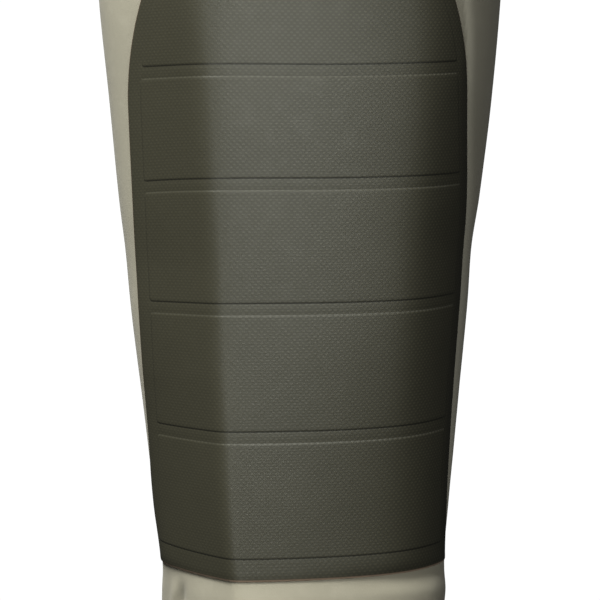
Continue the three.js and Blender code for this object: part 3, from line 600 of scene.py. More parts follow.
def make_leg_fabric():
    share = np.arange(LEG_COLUMNS + 1) / LEG_COLUMNS - 0.5
    rim = rim_height(share)
    foot = BOOT_HEIGHT - TUCK
    t = straight(ROW_SPREAD, "up", np.linspace(0, 1, LEG_ROWS))[:, None]
    body = lerp(foot, rim - HEM_BAND - 6, t)
    hem = np.array(HEM_SECTION)
    rows = [body, rim - hem[:, :1], body[::-1]]
    offs = [np.zeros(len(body)), hem[:, 1], np.full(len(body), -FABRIC_WALL)]
    z = np.concatenate(rows)
    off = np.concatenate(offs)[:, None]
    arc = share * leg.girth_at(z)
    from_back = np.abs(arc) - leg.girth_at(z) / 2
    seam = BACK_SEAM_RAISE * smooth(-BACK_SEAM_WIDTH / 2, 1 - BACK_SEAM_WIDTH / 2, from_back)
    off = off + fold_depth(z, arc) + np.where(off == 0, seam, 0)
    grid = leg.point(z, arc, off)[:, :-1]
    plan = np.stack([arc, z], axis=-1) * MM
    obj = hoop_piece("leg_fabric", grid, coated_fabric(), plan)
    # The strip beside the patch's inner edge that the material paints paler, as a painted highlight
    mark(obj, "painted_highlight", painted_highlight_strip(z, arc)[:, :-1].ravel())
    hold(obj, "fabric", "leg_shaft")


# Patch


def side_edge(z, side):
    """The patch's side edge as a length round the leg: side is 1 for the medial one and -1 for the other.
    Above the arch's foot it goes on with the leg's girth."""
    level = np.clip(z, PATCH_BOTTOM, ARCH_SPRING)
    up = (level - PATCH_BOTTOM) / PATCH_HEIGHT
    if side > 0:
        edge = curve(PATCH_EDGES, "inner", up) * PATCH_INNER
    else:
        edge = -curve(PATCH_EDGES, "outer", up) * PATCH_OUTER
    return edge * leg.girth_at(z) / leg.girth_at(level)


def skew(arc, z):
    """How far the patch's rows are drawn up or down."""
    up = (z - PATCH_BOTTOM) / PATCH_HEIGHT
    outer = straight(ASKEW, "outer", up) * np.abs(np.minimum(arc, 0) / 88) ** 3
    inner = straight(ASKEW, "inner", up) * (np.maximum(arc, 0) / 86) ** 2
    return straight(ASKEW, "middle", up) + outer + inner


SIDE_POINTS = 60
ARCH_POINTS = 70


def field_outline(low, high, border, crown_border):
    """The outline of the patch, or of a pad in it, on the flat: low and high are its ends, or high is
    None where the arch closes it. border is how far its two sides lie inside the patch's edge."""
    crown = PATCH_ARCH - crown_border
    closed = high is None
    reach = {}
    for side in (-1, 1):
        reach[side] = leg.across_of(ARCH_SPRING, side_edge(ARCH_SPRING, side) - side * border)

    def edge(z, side):
        if z <= ARCH_SPRING:
            return float(side_edge(z, side)) - side * border
        share = min((z - ARCH_SPRING) / crown, 1)
        return leg.arc_of(z, reach[side] * math.sqrt(1 - share * share))

    top = ARCH_SPRING + crown if closed else high
    heights = [low]
    if low < ARCH_SPRING:
        heights = list(np.linspace(low, min(top, ARCH_SPRING), SIDE_POINTS))
    if top > ARCH_SPRING:
        start = math.asin(max(0, (low - ARCH_SPRING) / crown))
        end = math.pi / 2 if closed else math.asin((high - ARCH_SPRING) / crown)
        heights += list(ARCH_SPRING + crown * np.sin(np.linspace(start, end, ARCH_POINTS)[1:]))
    right = [(edge(z, 1), z) for z in heights]
    left = [(edge(z, -1), z) for z in reversed(heights)]
    return np.array(right + left)


def resampled(loop, spacing):
    """A closed outline with its points evenly spaced."""
    closed = np.vstack([loop, loop[:1]])
    at = lengths(closed)
    count = int(round(at[-1] / spacing))
    return read_line(closed, at, np.arange(count) * at[-1] / count)


def rounded_loop(loop, softness, spacing):
    """A closed outline with its corners rounded and its points evenly spaced."""
    fine = resampled(loop, 0.5)
    frequency = np.fft.fftfreq(len(fine), 0.5)
    blur = np.exp(-0.5 * (2 * math.pi * frequency * softness) ** 2)
    soft = np.fft.ifft(np.fft.fft(fine[:, 0] + 1j * fine[:, 1]) * blur)
    return resampled(np.stack([soft.real, soft.imag], axis=-1), spacing)


def outward(loop):
    """The direction out of a closed outline at each of its points."""
    ahead = np.roll(loop, -1, axis=0) - np.roll(loop, 1, axis=0)
    ahead /= np.hypot(ahead[:, 0], ahead[:, 1])[:, None]
    return np.stack([ahead[:, 1], -ahead[:, 0]], axis=-1)


def drawn_in(loop, distance):
    return loop - distance * outward(loop)


def inside(points, loop):
    """Which of the flat points lie inside a closed outline."""
    x, y = points[:, 0][:, None], points[:, 1][:, None]
    x0, y0 = loop[:, 0][None, :], loop[:, 1][None, :]
    x1, y1 = np.roll(loop, -1, axis=0).T[:, None, :]
    crosses = (y0 > y) != (y1 > y)
    run = np.where(y1 == y0, 1, y1 - y0)
    return (np.sum(crosses & (x < (x1 - x0) * (y - y0) / run + x0), axis=1) % 2).astype(bool)


def distances(points, others):
    """How far each flat point lies from the nearest of the others."""
    tree = KDTree(len(others))
    for i, (x, y) in enumerate(others):
        tree.insert((x, y, 0), i)
    tree.balance()
    return np.array([tree.find((x, y, 0))[2] for x, y in points])


# Section of the patch's edge and of a pad's edge: distance in from the outline, share of the height,
# and how strongly the edge's own line is marked there: the trim on the patch's edge; on a pad's edge, its
# painted shade and painted highlight lines
SHEET_EDGE = [(0.0, 0.30, 1.0), (0.4, 0.80, 1.0), (1.0, 1.0, 0.0)]
PAD_EDGE = [(-0.4, 0.0, 0.0), (-0.05, -0.2, 1.0), (0.2, 0.25, 1.0), (0.6, 0.75, 0.1), (1.3, 1.0, 0.0)]
# How far a pad's middle stands above its border, and over what width it rises
PAD_CROWN = 0.2
PAD_CROWN_REACH = 13.0
# How dark a pad's painted shade along its sides is, where the painted shade under it is 1
SIDE_LINE = 0.35
# How far the corners of the patch and of its pads are rounded, and how close their points lie
PATCH_SOFTNESS = 1.6
PAD_SOFTNESS = 0.8
OUTLINE_SPACING = 1.5
FIELD_SPACING = 2.3
FIELD_CLEARANCE = 1.25


def pad_loops():
    """The pads' outlines on the flat, from the lowest one up. The arch closes the last one."""
    lows = PATCH_BOTTOM + np.array(PAD_EDGES) * PATCH_HEIGHT
    highs = [*(lows[1:] - CHANNEL), None]
    outlines = [field_outline(low, high, PATCH_BORDER, CROWN_BORDER) for low, high in zip(lows, highs)]
    return [rounded_loop(outline, PAD_SOFTNESS, OUTLINE_SPACING) for outline in outlines]


def field_points(patch, rings):
    """Staggered points all over the patch, clear of the rings in it."""
    low, high = patch.min(axis=0), patch.max(axis=0)
    rows = []
    for r, z in enumerate(np.arange(low[1], high[1], FIELD_SPACING * 0.87)):
        across = np.arange(low[0] + (r % 2) * FIELD_SPACING / 2, high[0], FIELD_SPACING)
        rows.append(np.stack([across, np.full(len(across), z)], axis=-1))
    points = np.concatenate(rows)
    return points[(distances(points, rings) > FIELD_CLEARANCE) & inside(points, patch)]


def make_shin_patch():
    patch = rounded_loop(field_outline(PATCH_BOTTOM, None, 0, 0), PATCH_SOFTNESS, OUTLINE_SPACING)
    pads = pad_loops()
    points, height, rim, line, edges = [], [], [], [], []
    count = 0
    for loop, section, base, raised in [(patch, SHEET_EDGE, 0, PATCH_SHEET)] + [
        (pad, PAD_EDGE, PATCH_SHEET, PAD_RAISE) for pad in pads
    ]:
        for distance, share, marked in section:
            ring = drawn_in(loop, distance)
            points.append(ring)
            height.append(np.full(len(ring), base + share * raised))
            facing = outward(loop)[:, 1]
            sheet = base == 0
            rim.append(np.full(len(ring), marked if sheet else 0))
            # On a pad, the line is painted light by the way its edge faces: a painted highlight along the
            # upper edge, painted shade along the lower edge and the sides
            line.append(0 * facing if sheet else marked * (facing - SIDE_LINE * (1 - np.abs(facing))))
            numbers = np.arange(len(ring)) + count
            edges.extend(np.stack([numbers, np.roll(numbers, -1)], axis=-1).tolist())
            count += len(ring)
    field = field_points(patch, np.concatenate(points))
    field_height = np.full(len(field), PATCH_SHEET)
    for pad in pads:
        field_height[inside(field, pad)] += PAD_RAISE
    flat = np.concatenate(points + [field])
    height = np.concatenate(height + [field_height])
    rim = np.concatenate(rim + [np.zeros(len(field))])
    line = np.concatenate(line + [np.zeros(len(field))])

    on_pad = height > PATCH_SHEET + 0.99 * PAD_RAISE
    for pad in pads:
        mine = on_pad & inside(flat, pad)
        deep = distances(flat[mine], pad)
        height[mine] += PAD_CROWN * (0.75 - np.exp(-deep / PAD_CROWN_REACH))

    made = delaunay_2d_cdt([Vector(p) for p in flat], edges, [], 1, 1e-5)
    where = np.array([[v.x, v.y] for v in made[0]])
    source = np.array([ids[0] if ids else -1 for ids in made[3]])
    height = np.where(source < 0, PATCH_SHEET, height[source])
    rim = np.where(source < 0, 0, rim[source])
    line = np.where(source < 0, 0, line[source])
    faces = [list(face) for face in made[2]]
    here = {int(s): i for i, s in enumerate(source)}
    outline = np.array([here[i] for i in range(len(patch))])
    z = where[:, 1] + skew(where[:, 0], where[:, 1])
    upper = leg.point(z, where[:, 0], PATCH_GAP + height)
    lower = leg.point(z, where[:, 0], PATCH_GAP)
    total = len(upper)
    solid = faces + [[v + total for v in face[::-1]] for face in faces]
    solid += band(outline + total, outline)
    obj = piece_from("shin_patch", np.concatenate([upper, lower]), solid, patch_rubber(), 60)
    raised = np.clip((height - PATCH_SHEET) / PAD_RAISE, 0, 1)
    marks = {
        "flat": np.concatenate([where, np.zeros((total, 1))], axis=1),
        "rim": rim,
        "line": line,
        "raised": raised,
        "shaded": (1 - raised) * smooth(0.87, 0.96, where[:, 0] / side_edge(where[:, 1], 1)),
    }
    for name, values in marks.items():
        mark(obj, name, np.concatenate([values, values]))
    hold(obj, "patch", "knee_patch")


# Boot

FOOT_OUTLINE = table("along inner outer centre", [
    (0.00, 0.345, 0.345, 0.00),
    (0.12, 0.365, 0.365, 0.00),
    (0.28, 0.352, 0.378, 0.00),
    (0.42, 0.345, 0.412, 0.03),
    (0.55, 0.392, 0.455, 0.15),
    (0.66, 0.456, 0.484, 0.35),
    (0.75, 0.484, 0.472, 0.55),
    (0.86, 0.468, 0.446, 0.80),
    (1.00, 0.430, 0.410, 1.00),
])
BED = table("along heel spring", [
    (0.00, 1.00, 0.00),
    (0.26, 1.00, 0.00),
    (0.36, 0.82, 0.00),
    (0.47, 0.38, 0.00),
    (0.60, 0.04, 0.00),
    (0.72, 0.00, 0.02),
    (0.82, 0.00, 0.22),
    (0.91, 0.00, 0.58),
    (1.00, 0.00, 1.00),
])
ARCH = [(0.285, 0.00), (0.293, 1.00), (0.421, 0.55), (0.455, 0.00)]
HEEL_GROOVES = [0.090, 0.147, 0.205]
TREAD_END = 0.955
BOOT_RINGS = table("front back up up_back toe heel full ankle", [
    (0.980, 0.006, 0.000, 0.000, 0.26, 0.130, 2.3, 0.00),
    (0.996, 0.000, 0.090, 0.105, 0.28, 0.135, 2.3, 0.00),
    (0.998, -0.003, 0.160, 0.175, 0.30, 0.140, 2.3, 0.00),
    (0.997, -0.003, 0.166, 0.181, 0.31, 0.140, 2.3, 0.00),
    (0.986, -0.003, 0.255, 0.255, 0.36, 0.145, 2.4, 0.00),
    (0.952, -0.001, 0.345, 0.340, 0.44, 0.150, 2.5, 0.00),
    (0.880, 0.004, 0.435, 0.420, 0.52, 0.155, 2.6, 0.04),
    (0.775, 0.011, 0.520, 0.505, 0.54, 0.165, 2.6, 0.14),
    (0.665, 0.018, 0.620, 0.595, 0.48, 0.180, 2.4, 0.42),
    (0.570, 0.022, 0.750, 0.700, 0.35, 0.205, 2.2, 0.70),
    (0.508, 0.022, 0.900, 0.840, 0.26, 0.228, 2.1, 0.90),
    (0.482, 0.014, 1.060, 1.010, 0.240, 0.236, 2.0, 1.00),
])
BOOT_COLUMNS = 192
BOOT_LEVELS = 88
FOXING_RINGS = 3
RING_ABOVE_ANKLE = 0.45
# Two shallow lines in the foxing band, as shares of its height
FOXING_LINES = [(0.52, 0.58), (0.68, 0.74)]


def heel_y(share):
    return HEEL_OVERHANG - share * FOOT_LENGTH


def along_foot(y):
    return (HEEL_OVERHANG - y) / FOOT_LENGTH


def spring_height(y):
    return TOE_SPRING * curve(BED, "spring", along_foot(y))


def bed_height(y):
    heel = curve(BED, "heel", along_foot(y))
    return SOLE_AT_BALL + (SOLE_AT_HEEL - SOLE_AT_BALL) * heel + spring_height(y)


def round_end(share, fullness):
    rest = 1 - np.clip(share, 0, 1)
    return (1 - rest**fullness) ** (1 / fullness)


def boot_ring(k):
    """One ring of the boot, from the middle of its front round by way of the medial side."""
    ring = rows_of(BOOT_RINGS)[k]
    turn = np.arange(BOOT_COLUMNS) / BOOT_COLUMNS * 2 * math.pi
    along = (1 - np.cos(turn)) / 2
    medial = turn <= math.pi
    side = np.where(medial, 1, -1)
    front, back = heel_y(ring["front"]), heel_y(ring["back"])
    y = lerp(front, back, along)
    share = along_foot(y)
    width = np.where(medial, curve(FOOT_OUTLINE, "inner", share), curve(FOOT_OUTLINE, "outer", share))
    half = lerp(width * BALL_WIDTH, ANKLE_WIDTH / 2, ring["ankle"])
    toe = round_end((y - front) / (ring["toe"] * FOOT_LENGTH), ring["full"])
    heel = round_end((back - y) / (ring["heel"] * FOOT_LENGTH), 2)
    level = bed_height(y) - lerp(bed_height(front), bed_height(back), along)
    base_front = bed_height(front) + ring["up"] * INSTEP_HEIGHT
    base_back = bed_height(back) + ring["up_back"] * INSTEP_HEIGHT
    base = lerp(base_front, base_back, along)
    flat = 1 - ring["ankle"]
    centre = TOE_TURN * curve(FOOT_OUTLINE, "centre", share) * flat
    return np.stack([centre + side * half * toe * heel, y, GAP + base + level * flat], axis=-1)


def collar_ring(z):
    """A ring of the boot's shaft, which follows the leg bonded into it. z may differ round the ring."""
    z = np.broadcast_to(np.asarray(z, dtype=float), (BOOT_COLUMNS,))
    round_ring = np.arange(BOOT_COLUMNS) / BOOT_COLUMNS
    round_ring = np.where(round_ring > 0.5, round_ring - 1, round_ring)
    girth = leg.girth_at(z)
    ridge = np.interp(z, leg.levels, leg.ridge)
    places = np.stack([-girth / 2, side_edge(z, -1), ridge, 0 * z, side_edge(z, 1), girth / 2], axis=-1)
    shares = [-0.5, -0.25, -0.075, 0, 0.25, 0.5]
    arc = np.array([np.interp(share, shares, place) for share, place in zip(round_ring, places)])
    return leg.point(z, arc, GAP + RUBBER_WALL)


def out_of(rings):
    """The direction out of a stack of rings at each point, level at its lowest and highest ring."""
    around = np.roll(rings, -1, axis=1) - np.roll(rings, 1, axis=1)
    normal = np.cross(around, np.gradient(rings, axis=0))
    normal[[0, -1], :, 2] = 0
    return normal / np.linalg.norm(normal, axis=2, keepdims=True)


def make_rubber_boot():
    rings = [boot_ring(k) for k in range(len(BOOT_RINGS["front"]))]
    leg_end = BOOT_HEIGHT - TUCK
    last = rings[-1]
    z = lerp(last[:, 2], leg_end, RING_ABOVE_ANKLE)
    between = lerp(last, collar_ring(z), 0.5)
    between[:, 2] = z
    rings.append(between)
    band_foot = BOOT_HEIGHT - COLLAR_BAND
    for level in (leg_end - GAP, band_foot - 0.4, band_foot + 0.4, BOOT_HEIGHT):
        rings.append(collar_ring(level))
    rings = np.array(rings)
    at = sums(np.linalg.norm(np.diff(rings, axis=0), axis=2).mean(axis=1))
    foxing = at[FOXING_RINGS - 1] + 0.5
    collar = at[-3]
    places = np.linspace(0, at[-1], BOOT_LEVELS)
    fine = np.array([-0.9, -0.55, -0.25, 0, 0.25, 0.55, 0.9])
    keep = (np.abs(places - foxing) > 1.6) & (np.abs(places - collar) > 1.6)
    edge = at[-1] - np.array([0.15, 0.5, 1.1])
    places = np.sort(np.concatenate([places[keep], foxing + fine, collar + fine, edge, [0.4, 1.0]]))
    surface = through(at, rings, places)
    normal = out_of(surface)
    raise_by = FOXING_RAISE * (1 - smooth(foxing - 0.7, foxing + 0.7, places))
    raise_by += COLLAR_RAISE * smooth(collar - 0.7, collar + 0.7, places)
    for low, high in FOXING_LINES:
        share = places / foxing
        raise_by -= 0.5 * (smooth(low - 0.02, low, share) - smooth(high, high + 0.02, share))
    top = at[-1] - places
    round_rim = 0.6 * np.clip(1 - top / 1.1, 0, 1) ** 2
    outer = surface + normal * (raise_by - round_rim)[:, None, None]
    inner = surface + normal * (round_rim - RUBBER_WALL)[:, None, None]
    grid = np.concatenate([outer, inner[::-1]])
    obj = hoop_piece("rubber_boot", grid, boot_rubber())
    hold(obj, "boot", "boot_upper")
    return outer, places / foxing


# Sole


def sole_ring(off, height):
    """The boot's lowest ring, stood off by a length and at a height that may change along the foot."""
    ring = boot_ring(0)[:, :2]
    flat = drawn_in(ring, -off)
    return np.concatenate([flat, height(flat[:, 1])[:, None]], axis=1)


def box(low, high):
    """The corners and faces of a box between two of its corners."""
    (x0, y0, z0), (x1, y1, z1) = low, high
    corners = [(x, y, z) for z in (z0, z1) for y in (y0, y1) for x in (x0, x1)]
    faces = [(0, 2, 3, 1), (4, 5, 7, 6), (0, 1, 5, 4), (2, 6, 7, 3), (0, 4, 6, 2), (1, 3, 7, 5)]
    return corners, faces


def cut_away(obj, name, solids):
    """Cuts a set of closed shapes out of a piece."""
    points, faces = [], []
    for corners, sides in solids:
        faces.extend([tuple(v + len(points) for v in side) for side in sides])
        points.extend(corners)
    mesh = mesh_of(name, points, [], faces)
    cutter = placed(name, mesh)
    cut = obj.modifiers.new("cut", "BOOLEAN")
    cut.operation = "DIFFERENCE"
    cut.solver = "EXACT"
    cut.object = cutter
    plain_mesh(obj)
    bpy.data.objects.remove(cutter)
    bpy.data.meshes.remove(mesh)


def plain_mesh(obj):
    """Turns a piece with its modifiers into a plain mesh."""
    depsgraph = bpy.context.evaluated_depsgraph_get()
    mesh = bpy.data.meshes.new_from_object(obj.evaluated_get(depsgraph))
    obj.modifiers.clear()
    obj.data = mesh


def make_lugged_sole():
    side = FOXING_RAISE + SOLE_SIDE
    lip = FOXING_RAISE + WELT
    tread = SOLE_TREAD_EDGE

    def under_welt(y):
        return bed_height(y) - WELT_THICKNESS

    rings = np.array([
        sole_ring(tread, spring_height),
        sole_ring(lerp(tread, side, 0.5), lambda y: spring_height(y) + 1.6),
        sole_ring(side, lambda y: spring_height(y) + GROOVE_DEPTH),
        sole_ring(side, under_welt),
        sole_ring(lip - 0.4, lambda y: under_welt(y) + 0.2),
        sole_ring(lip, lambda y: under_welt(y) + STEP_RUN),
        sole_ring(lip, lambda y: bed_height(y) - 0.9),
        sole_ring(lip - 0.25, lambda y: bed_height(y) - 0.3),
        sole_ring(lip - 0.9, bed_height),
    ])
    obj = stack_piece("lugged_sole", rings, sole_rubber(), 30)
    edge = [(heel_y(along), up * ARCH_HEIGHT if up > 0 else -1.0) for along, up in ARCH]
    points = [(x, y, z) for x in (-BALL_WIDTH, BALL_WIDTH) for y, z in edge]
    faces = [(3, 2, 1, 0), (4, 5, 6, 7), (1, 5, 4, 0), (2, 6, 5, 1), (3, 7, 6, 2), (0, 4, 7, 3)]
    cut_away(obj, "arch_cut", [(points, faces)])
    start, end = heel_y(ARCH[-1][0]), heel_y(TREAD_END)
    grooves = [(heel_y(along), GROOVE_DEPTH) for along in HEEL_GROOVES]
    y = start - LUG_PITCH
    while y > end:
        grooves.append((y, float(spring_height(y)) + GROOVE_DEPTH))
        y -= LUG_PITCH
    half = GROOVE_WIDTH / 2
    across = [box((-BALL_WIDTH, y - half, -1), (BALL_WIDTH, y + half, depth)) for y, depth in grooves]
    cut_away(obj, "cross_cut", across)
    beside = (-LENGTH_GROOVES / 2, LENGTH_GROOVES / 2)
    along = [box((x - half, end, -GROOVE_DEPTH), (x + half, start, GROOVE_DEPTH)) for x in beside]
    cut_away(obj, "length_cut", along)
    soften(obj.data, 30)
    hold(obj, "sole", "outsole")


def make_footbed():
    inset = -(RUBBER_WALL + INSOLE_PLAY)
    top = GAP + INSOLE_THICKNESS
    steps = [(0, GAP), (0, top - 1), (-0.25, top - 0.45), (-0.9, top - 0.1), (-3, top), (-9, top)]
    rings = np.array([sole_ring(inset + off, lambda y, up=up: bed_height(y) + up) for off, up in steps])
    obj = stack_piece("footbed", rings, footbed_cloth(), 50)
    hold(obj, "footbed", "insole")


# Strap and slider

HALF_WEB = WEBBING_THICKNESS / 2
FLAT_LAYER = HEM_RAISE + GAP + HALF_WEB
LOOP_LAYER = FLAT_LAYER + STRAP_REACH
SLIDER_LAYER = FLAT_LAYER + 2 * WEBBING_THICKNESS + 2 * GAP + SLIDER_THICKNESS / 2
BEHIND_SLIDER = SLIDER_LAYER - SLIDER_THICKNESS / 2 - GAP - HALF_WEB
BEFORE_SLIDER = SLIDER_LAYER + SLIDER_THICKNESS / 2 + GAP + HALF_WEB


def strap_origin():
    side = float(np.interp(LEG_HEIGHT, leg.levels, leg.side))
    return leg.point(LEG_HEIGHT, side - LEG_TURN * THIGH_DEPTH / 2, 0)


def strap_point(out, up, across):
    """A place by its distance from the leg, its height from the rim's top and its place across."""
    origin = strap_origin()
    out, up, across = np.broadcast_arrays(out, up, across)
    return np.stack([origin[0] - out, origin[1] + across, origin[2] + up], axis=-1)


def turn_of(centre_out, centre_up, radius, start, end):
    """Points along a turn of the strap, seen from its edge."""
    angle = np.linspace(start, end, 13)
    return [(centre_out + radius * math.cos(a), centre_up + radius * math.sin(a)) for a in angle]


def strap_path():
    """The webbing's line from its sewn end: over the fold, through the slider and round the loop."""
    top = -STRAP_BELOW_RIM - FOLD_RADIUS
    tab_end = -STRAP_BELOW_RIM - TAB_LENGTH
    turn = STRAP_REACH / 2
    bar = SLIDER_BAR / 2 + GAP
    window = SLIDER_BAR / 2 + SLIDER_WINDOW - GAP
    frame_end = SLIDER_BAR * 1.5 + SLIDER_WINDOW + GAP
    middle = -SLIDER_DEPTH
    path = [(FLAT_LAYER, tab_end)]
    path += turn_of(FLAT_LAYER + FOLD_RADIUS, top, FOLD_RADIUS, math.pi, 0)
    path += [
        (BEHIND_SLIDER, middle + frame_end),
        (BEHIND_SLIDER, middle + window),
        (BEFORE_SLIDER, middle + bar),
        (BEFORE_SLIDER, middle - bar),
        (BEHIND_SLIDER, middle - window),
        (BEHIND_SLIDER, middle - frame_end),
        (LOOP_LAYER, middle - frame_end - STRAP_REACH),
    ]
    path += turn_of(FLAT_LAYER + turn, turn - STRAP_DROP, turn, 0, -math.pi)
    path.append((FLAT_LAYER, tab_end - SLIDER_BAR))
    return np.array(path)


def even_line(line, spacing):
    """An open line with its points evenly spaced, and how far along it each lies."""
    at = lengths(line)
    where = np.linspace(0, at[-1], int(at[-1] / spacing) + 1)
    return read_line(line, at, where), where


# Half of the webbing's section: places across and depth, as shares of the half width and half thickness
WEB_SECTION = table("across depth", [
    (-1, 0.35), (-0.985, 0.75), (-0.95, 0.97), (-0.9, 1), (-0.6, 0.96), (-0.3, 0.96), (0, 0.96),
    (0.3, 0.96), (0.6, 0.96), (0.9, 1), (0.95, 0.97), (0.985, 0.75), (1, 0.35),
])
WEB_SPACING = 0.9


def make_web_strap():
    soft, at = even_line(strap_path(), WEB_SPACING)
    for _ in range(3):
        soft[1:-1] = (soft[:-2] + 2 * soft[1:-1] + soft[2:]) / 4
    ahead = np.gradient(soft, axis=0)
    ahead /= np.hypot(ahead[:, 0], ahead[:, 1])[:, None]
    beside = np.stack([ahead[:, 1], -ahead[:, 0]], axis=-1)
    across, depth = WEB_SECTION["across"] * WEBBING_WIDTH / 2, WEB_SECTION["depth"] * HALF_WEB
    upper = np.stack([across, depth], axis=-1)
    section = np.concatenate([upper, upper[::-1] * (1, -1)])
    middle = soft[:, None, :] + section[:, 1:] * beside[:, None, :]
    grid = strap_point(middle[:, :, 0], middle[:, :, 1], section[:, 0])
    numbers = numbered(grid)
    faces = []
    for row, above in zip(numbers, numbers[1:]):
        faces.extend(band(row, above, True))
    for ring, turned in ((numbers[0], False), (numbers[-1], True)):
        for k in range(len(ring) // 2 - 1):
            strip = [int(v) for v in (ring[k], ring[k + 1], ring[-k - 2], ring[-k - 1])]
            faces.append(strip[::-1] if turned else strip)
    obj = piece_from("web_strap", grid.reshape(-1, 3), faces, webbing(), 50)
    plan = np.zeros(grid.shape)
    plan[:, :, 0] = at[:, None]
    plan[:, :, 1] = section[None, :, 0]
    mark(obj, "flat", plan.reshape(-1, 3))
    hold(obj, "webbing", "belt_strap")


def make_slider_frame():
    """A flat frame with two windows and a bar between them, its corners and edges rounded."""
    inner = WEBBING_WIDTH / 2 + SLIDER_PLAY
    outer = inner + SLIDER_BAR
    tall = SLIDER_BAR * 1.5 + SLIDER_WINDOW
    bar = SLIDER_BAR / 2
    columns = [-outer, -inner, inner, outer]
    rows = [-tall, -bar - SLIDER_WINDOW, -bar, bar, bar + SLIDER_WINDOW, tall]
    mesh = bmesh.new()
    grid = [[mesh.verts.new((0, x, z)) for x in columns] for z in rows]
    for j in range(5):
        for i in range(3):
            if i == 1 and j in (1, 3):
                continue
            mesh.faces.new([grid[j][i], grid[j][i + 1], grid[j + 1][i + 1], grid[j + 1][i]])
    made = bmesh.ops.extrude_face_region(mesh, geom=mesh.faces[:])
    moved = [v for v in made["geom"] if isinstance(v, bmesh.types.BMVert)]
    bmesh.ops.translate(mesh, verts=moved, vec=(-SLIDER_THICKNESS, 0, 0))
    bmesh.ops.recalc_face_normals(mesh, faces=mesh.faces[:])

    def at_corner(edge):
        one, other = (v.co for v in edge.verts)
        at_end = abs(abs(one.y) - outer) < 0.01 and abs(abs(one.z) - tall) < 0.01
        return at_end and abs(one.x - other.x) > 1

    corners = [e for e in mesh.edges if at_corner(e)]
    bmesh.ops.bevel(mesh, geom=corners, offset=SLIDER_CORNER, segments=6, affect="EDGES", profile=0.5)
    sharp = [e for e in mesh.edges if e.calc_face_angle(0) > math.radians(40)]
    bmesh.ops.bevel(mesh, geom=sharp, offset=SLIDER_ROUND, segments=3, affect="EDGES", profile=0.5)
    origin = strap_origin()
    shift = (origin[0] - SLIDER_LAYER + SLIDER_THICKNESS / 2, origin[1], origin[2] - SLIDER_DEPTH)
    bmesh.ops.translate(mesh, verts=mesh.verts[:], vec=shift)
    bmesh.ops.scale(mesh, verts=mesh.verts[:], vec=(MM, MM, MM))
    data = bpy.data.meshes.new("slider_frame")
    mesh.to_mesh(data)
    mesh.free()
    soften(data, 50)
    data.materials.append(moulded_plastic())
    hold(placed("slider_frame", data), "plastic", "strap_slider")


# Stitches and ribs


def new_node(tree, kind, settings=None, sockets=None):
    """Any node of any tree: its settings first, then the values or links of its sockets."""
    node = tree.nodes.new(kind)
    for name, value in (settings or {}).items():
        setattr(node, name, value)
    for name, value in (sockets or {}).items():
        if isinstance(value, bpy.types.NodeSocket):
            tree.links.new(value, node.inputs[name])
        else:
            node.inputs[name].default_value = value
    return node


@cache
def row_tree():
    """A node tree that sets small rounded bars along a line, each turned along it and out from it."""
    tree = bpy.data.node_groups.new("bars_along_a_line", "GeometryNodeTree")
    face = tree.interface
    face.new_socket("Line", in_out="INPUT", socket_type="NodeSocketGeometry")
    for name in ("Pitch", "Length", "Width", "Height"):
        face.new_socket(name, in_out="INPUT", socket_type="NodeSocketFloat")
    face.new_socket("Finish", in_out="INPUT", socket_type="NodeSocketMaterial")
    face.new_socket("Bars", in_out="OUTPUT", socket_type="NodeSocketGeometry")

    def add(kind, settings=None, **sockets):
        """A node of this tree, by the first of its outputs."""
        outputs = new_node(tree, kind, settings, sockets).outputs
        return outputs[0] if outputs else None

    given = new_node(tree, "NodeGroupInput").outputs
    line = add("GeometryNodeMeshToCurve", Mesh=given["Line"])
    even = add("GeometryNodeResampleCurve", {"mode": "LENGTH"}, Curve=line, Length=given["Pitch"])
    shape = add("GeometryNodeMeshUVSphere", Segments=8, Rings=5, Radius=0.5)
    size = add("ShaderNodeCombineXYZ", X=given["Length"], Y=given["Width"], Z=given["Height"])
    sized = add("GeometryNodeTransform", Geometry=shape, Scale=size)
    out = add("GeometryNodeInputNamedAttribute", {"data_type": "FLOAT_VECTOR"}, Name="out")
    tangent = add("GeometryNodeInputTangent")
    along = add("FunctionNodeAlignRotationToVector", {"axis": "X"}, Vector=tangent)
    turned = {"axis": "Z", "pivot_axis": "X"}
    upright = add("FunctionNodeAlignRotationToVector", turned, Rotation=along, Vector=out)
    set_on = add("GeometryNodeInstanceOnPoints", Points=even, Instance=sized, Rotation=upright)
    real = add("GeometryNodeRealizeInstances", Geometry=set_on)
    soft = add("GeometryNodeSetShadeSmooth", Geometry=real)
    add("NodeGroupOutput", Bars=add("GeometryNodeSetMaterial", Geometry=soft, Material=given["Finish"]))
    return tree


def bars_along(name, lines, size, pitch, material):
    """Small rounded bars along lines of (places, directions out) in millimetres. size is a bar's length
    along the line, its width and its height."""
    points, outs, edges = [], [], []
    for places, directions in lines:
        first = len(points)
        points.extend(np.asarray(places).tolist())
        outs.extend(np.asarray(directions).tolist())
        edges.extend([(first + i, first + i + 1) for i in range(len(places) - 1)])
    obj = placed(name, mesh_of(name, points, edges, []))
    mark(obj, "out", outs)
    tree = row_tree()
    bars = obj.modifiers.new("bars", "NODES")
    bars.node_group = tree
    given = {item.name: item.identifier for item in tree.interface.items_tree if item.in_out == "INPUT"}
    for socket, value in zip(("Pitch", "Length", "Width", "Height"), (pitch, *size)):
        bars[given[socket]] = value * MM
    bars[given["Finish"]] = material
    plain_mesh(obj)
    return obj


# How far the two rows of stitches in the hem lie below the rim
HEM_STITCHES = (27.2, 24.4)
# The box that the strap is sewn down in: its half width, and its foot and top below the rim
STRAP_STITCHES = (15.0, -43.0, -15.0)


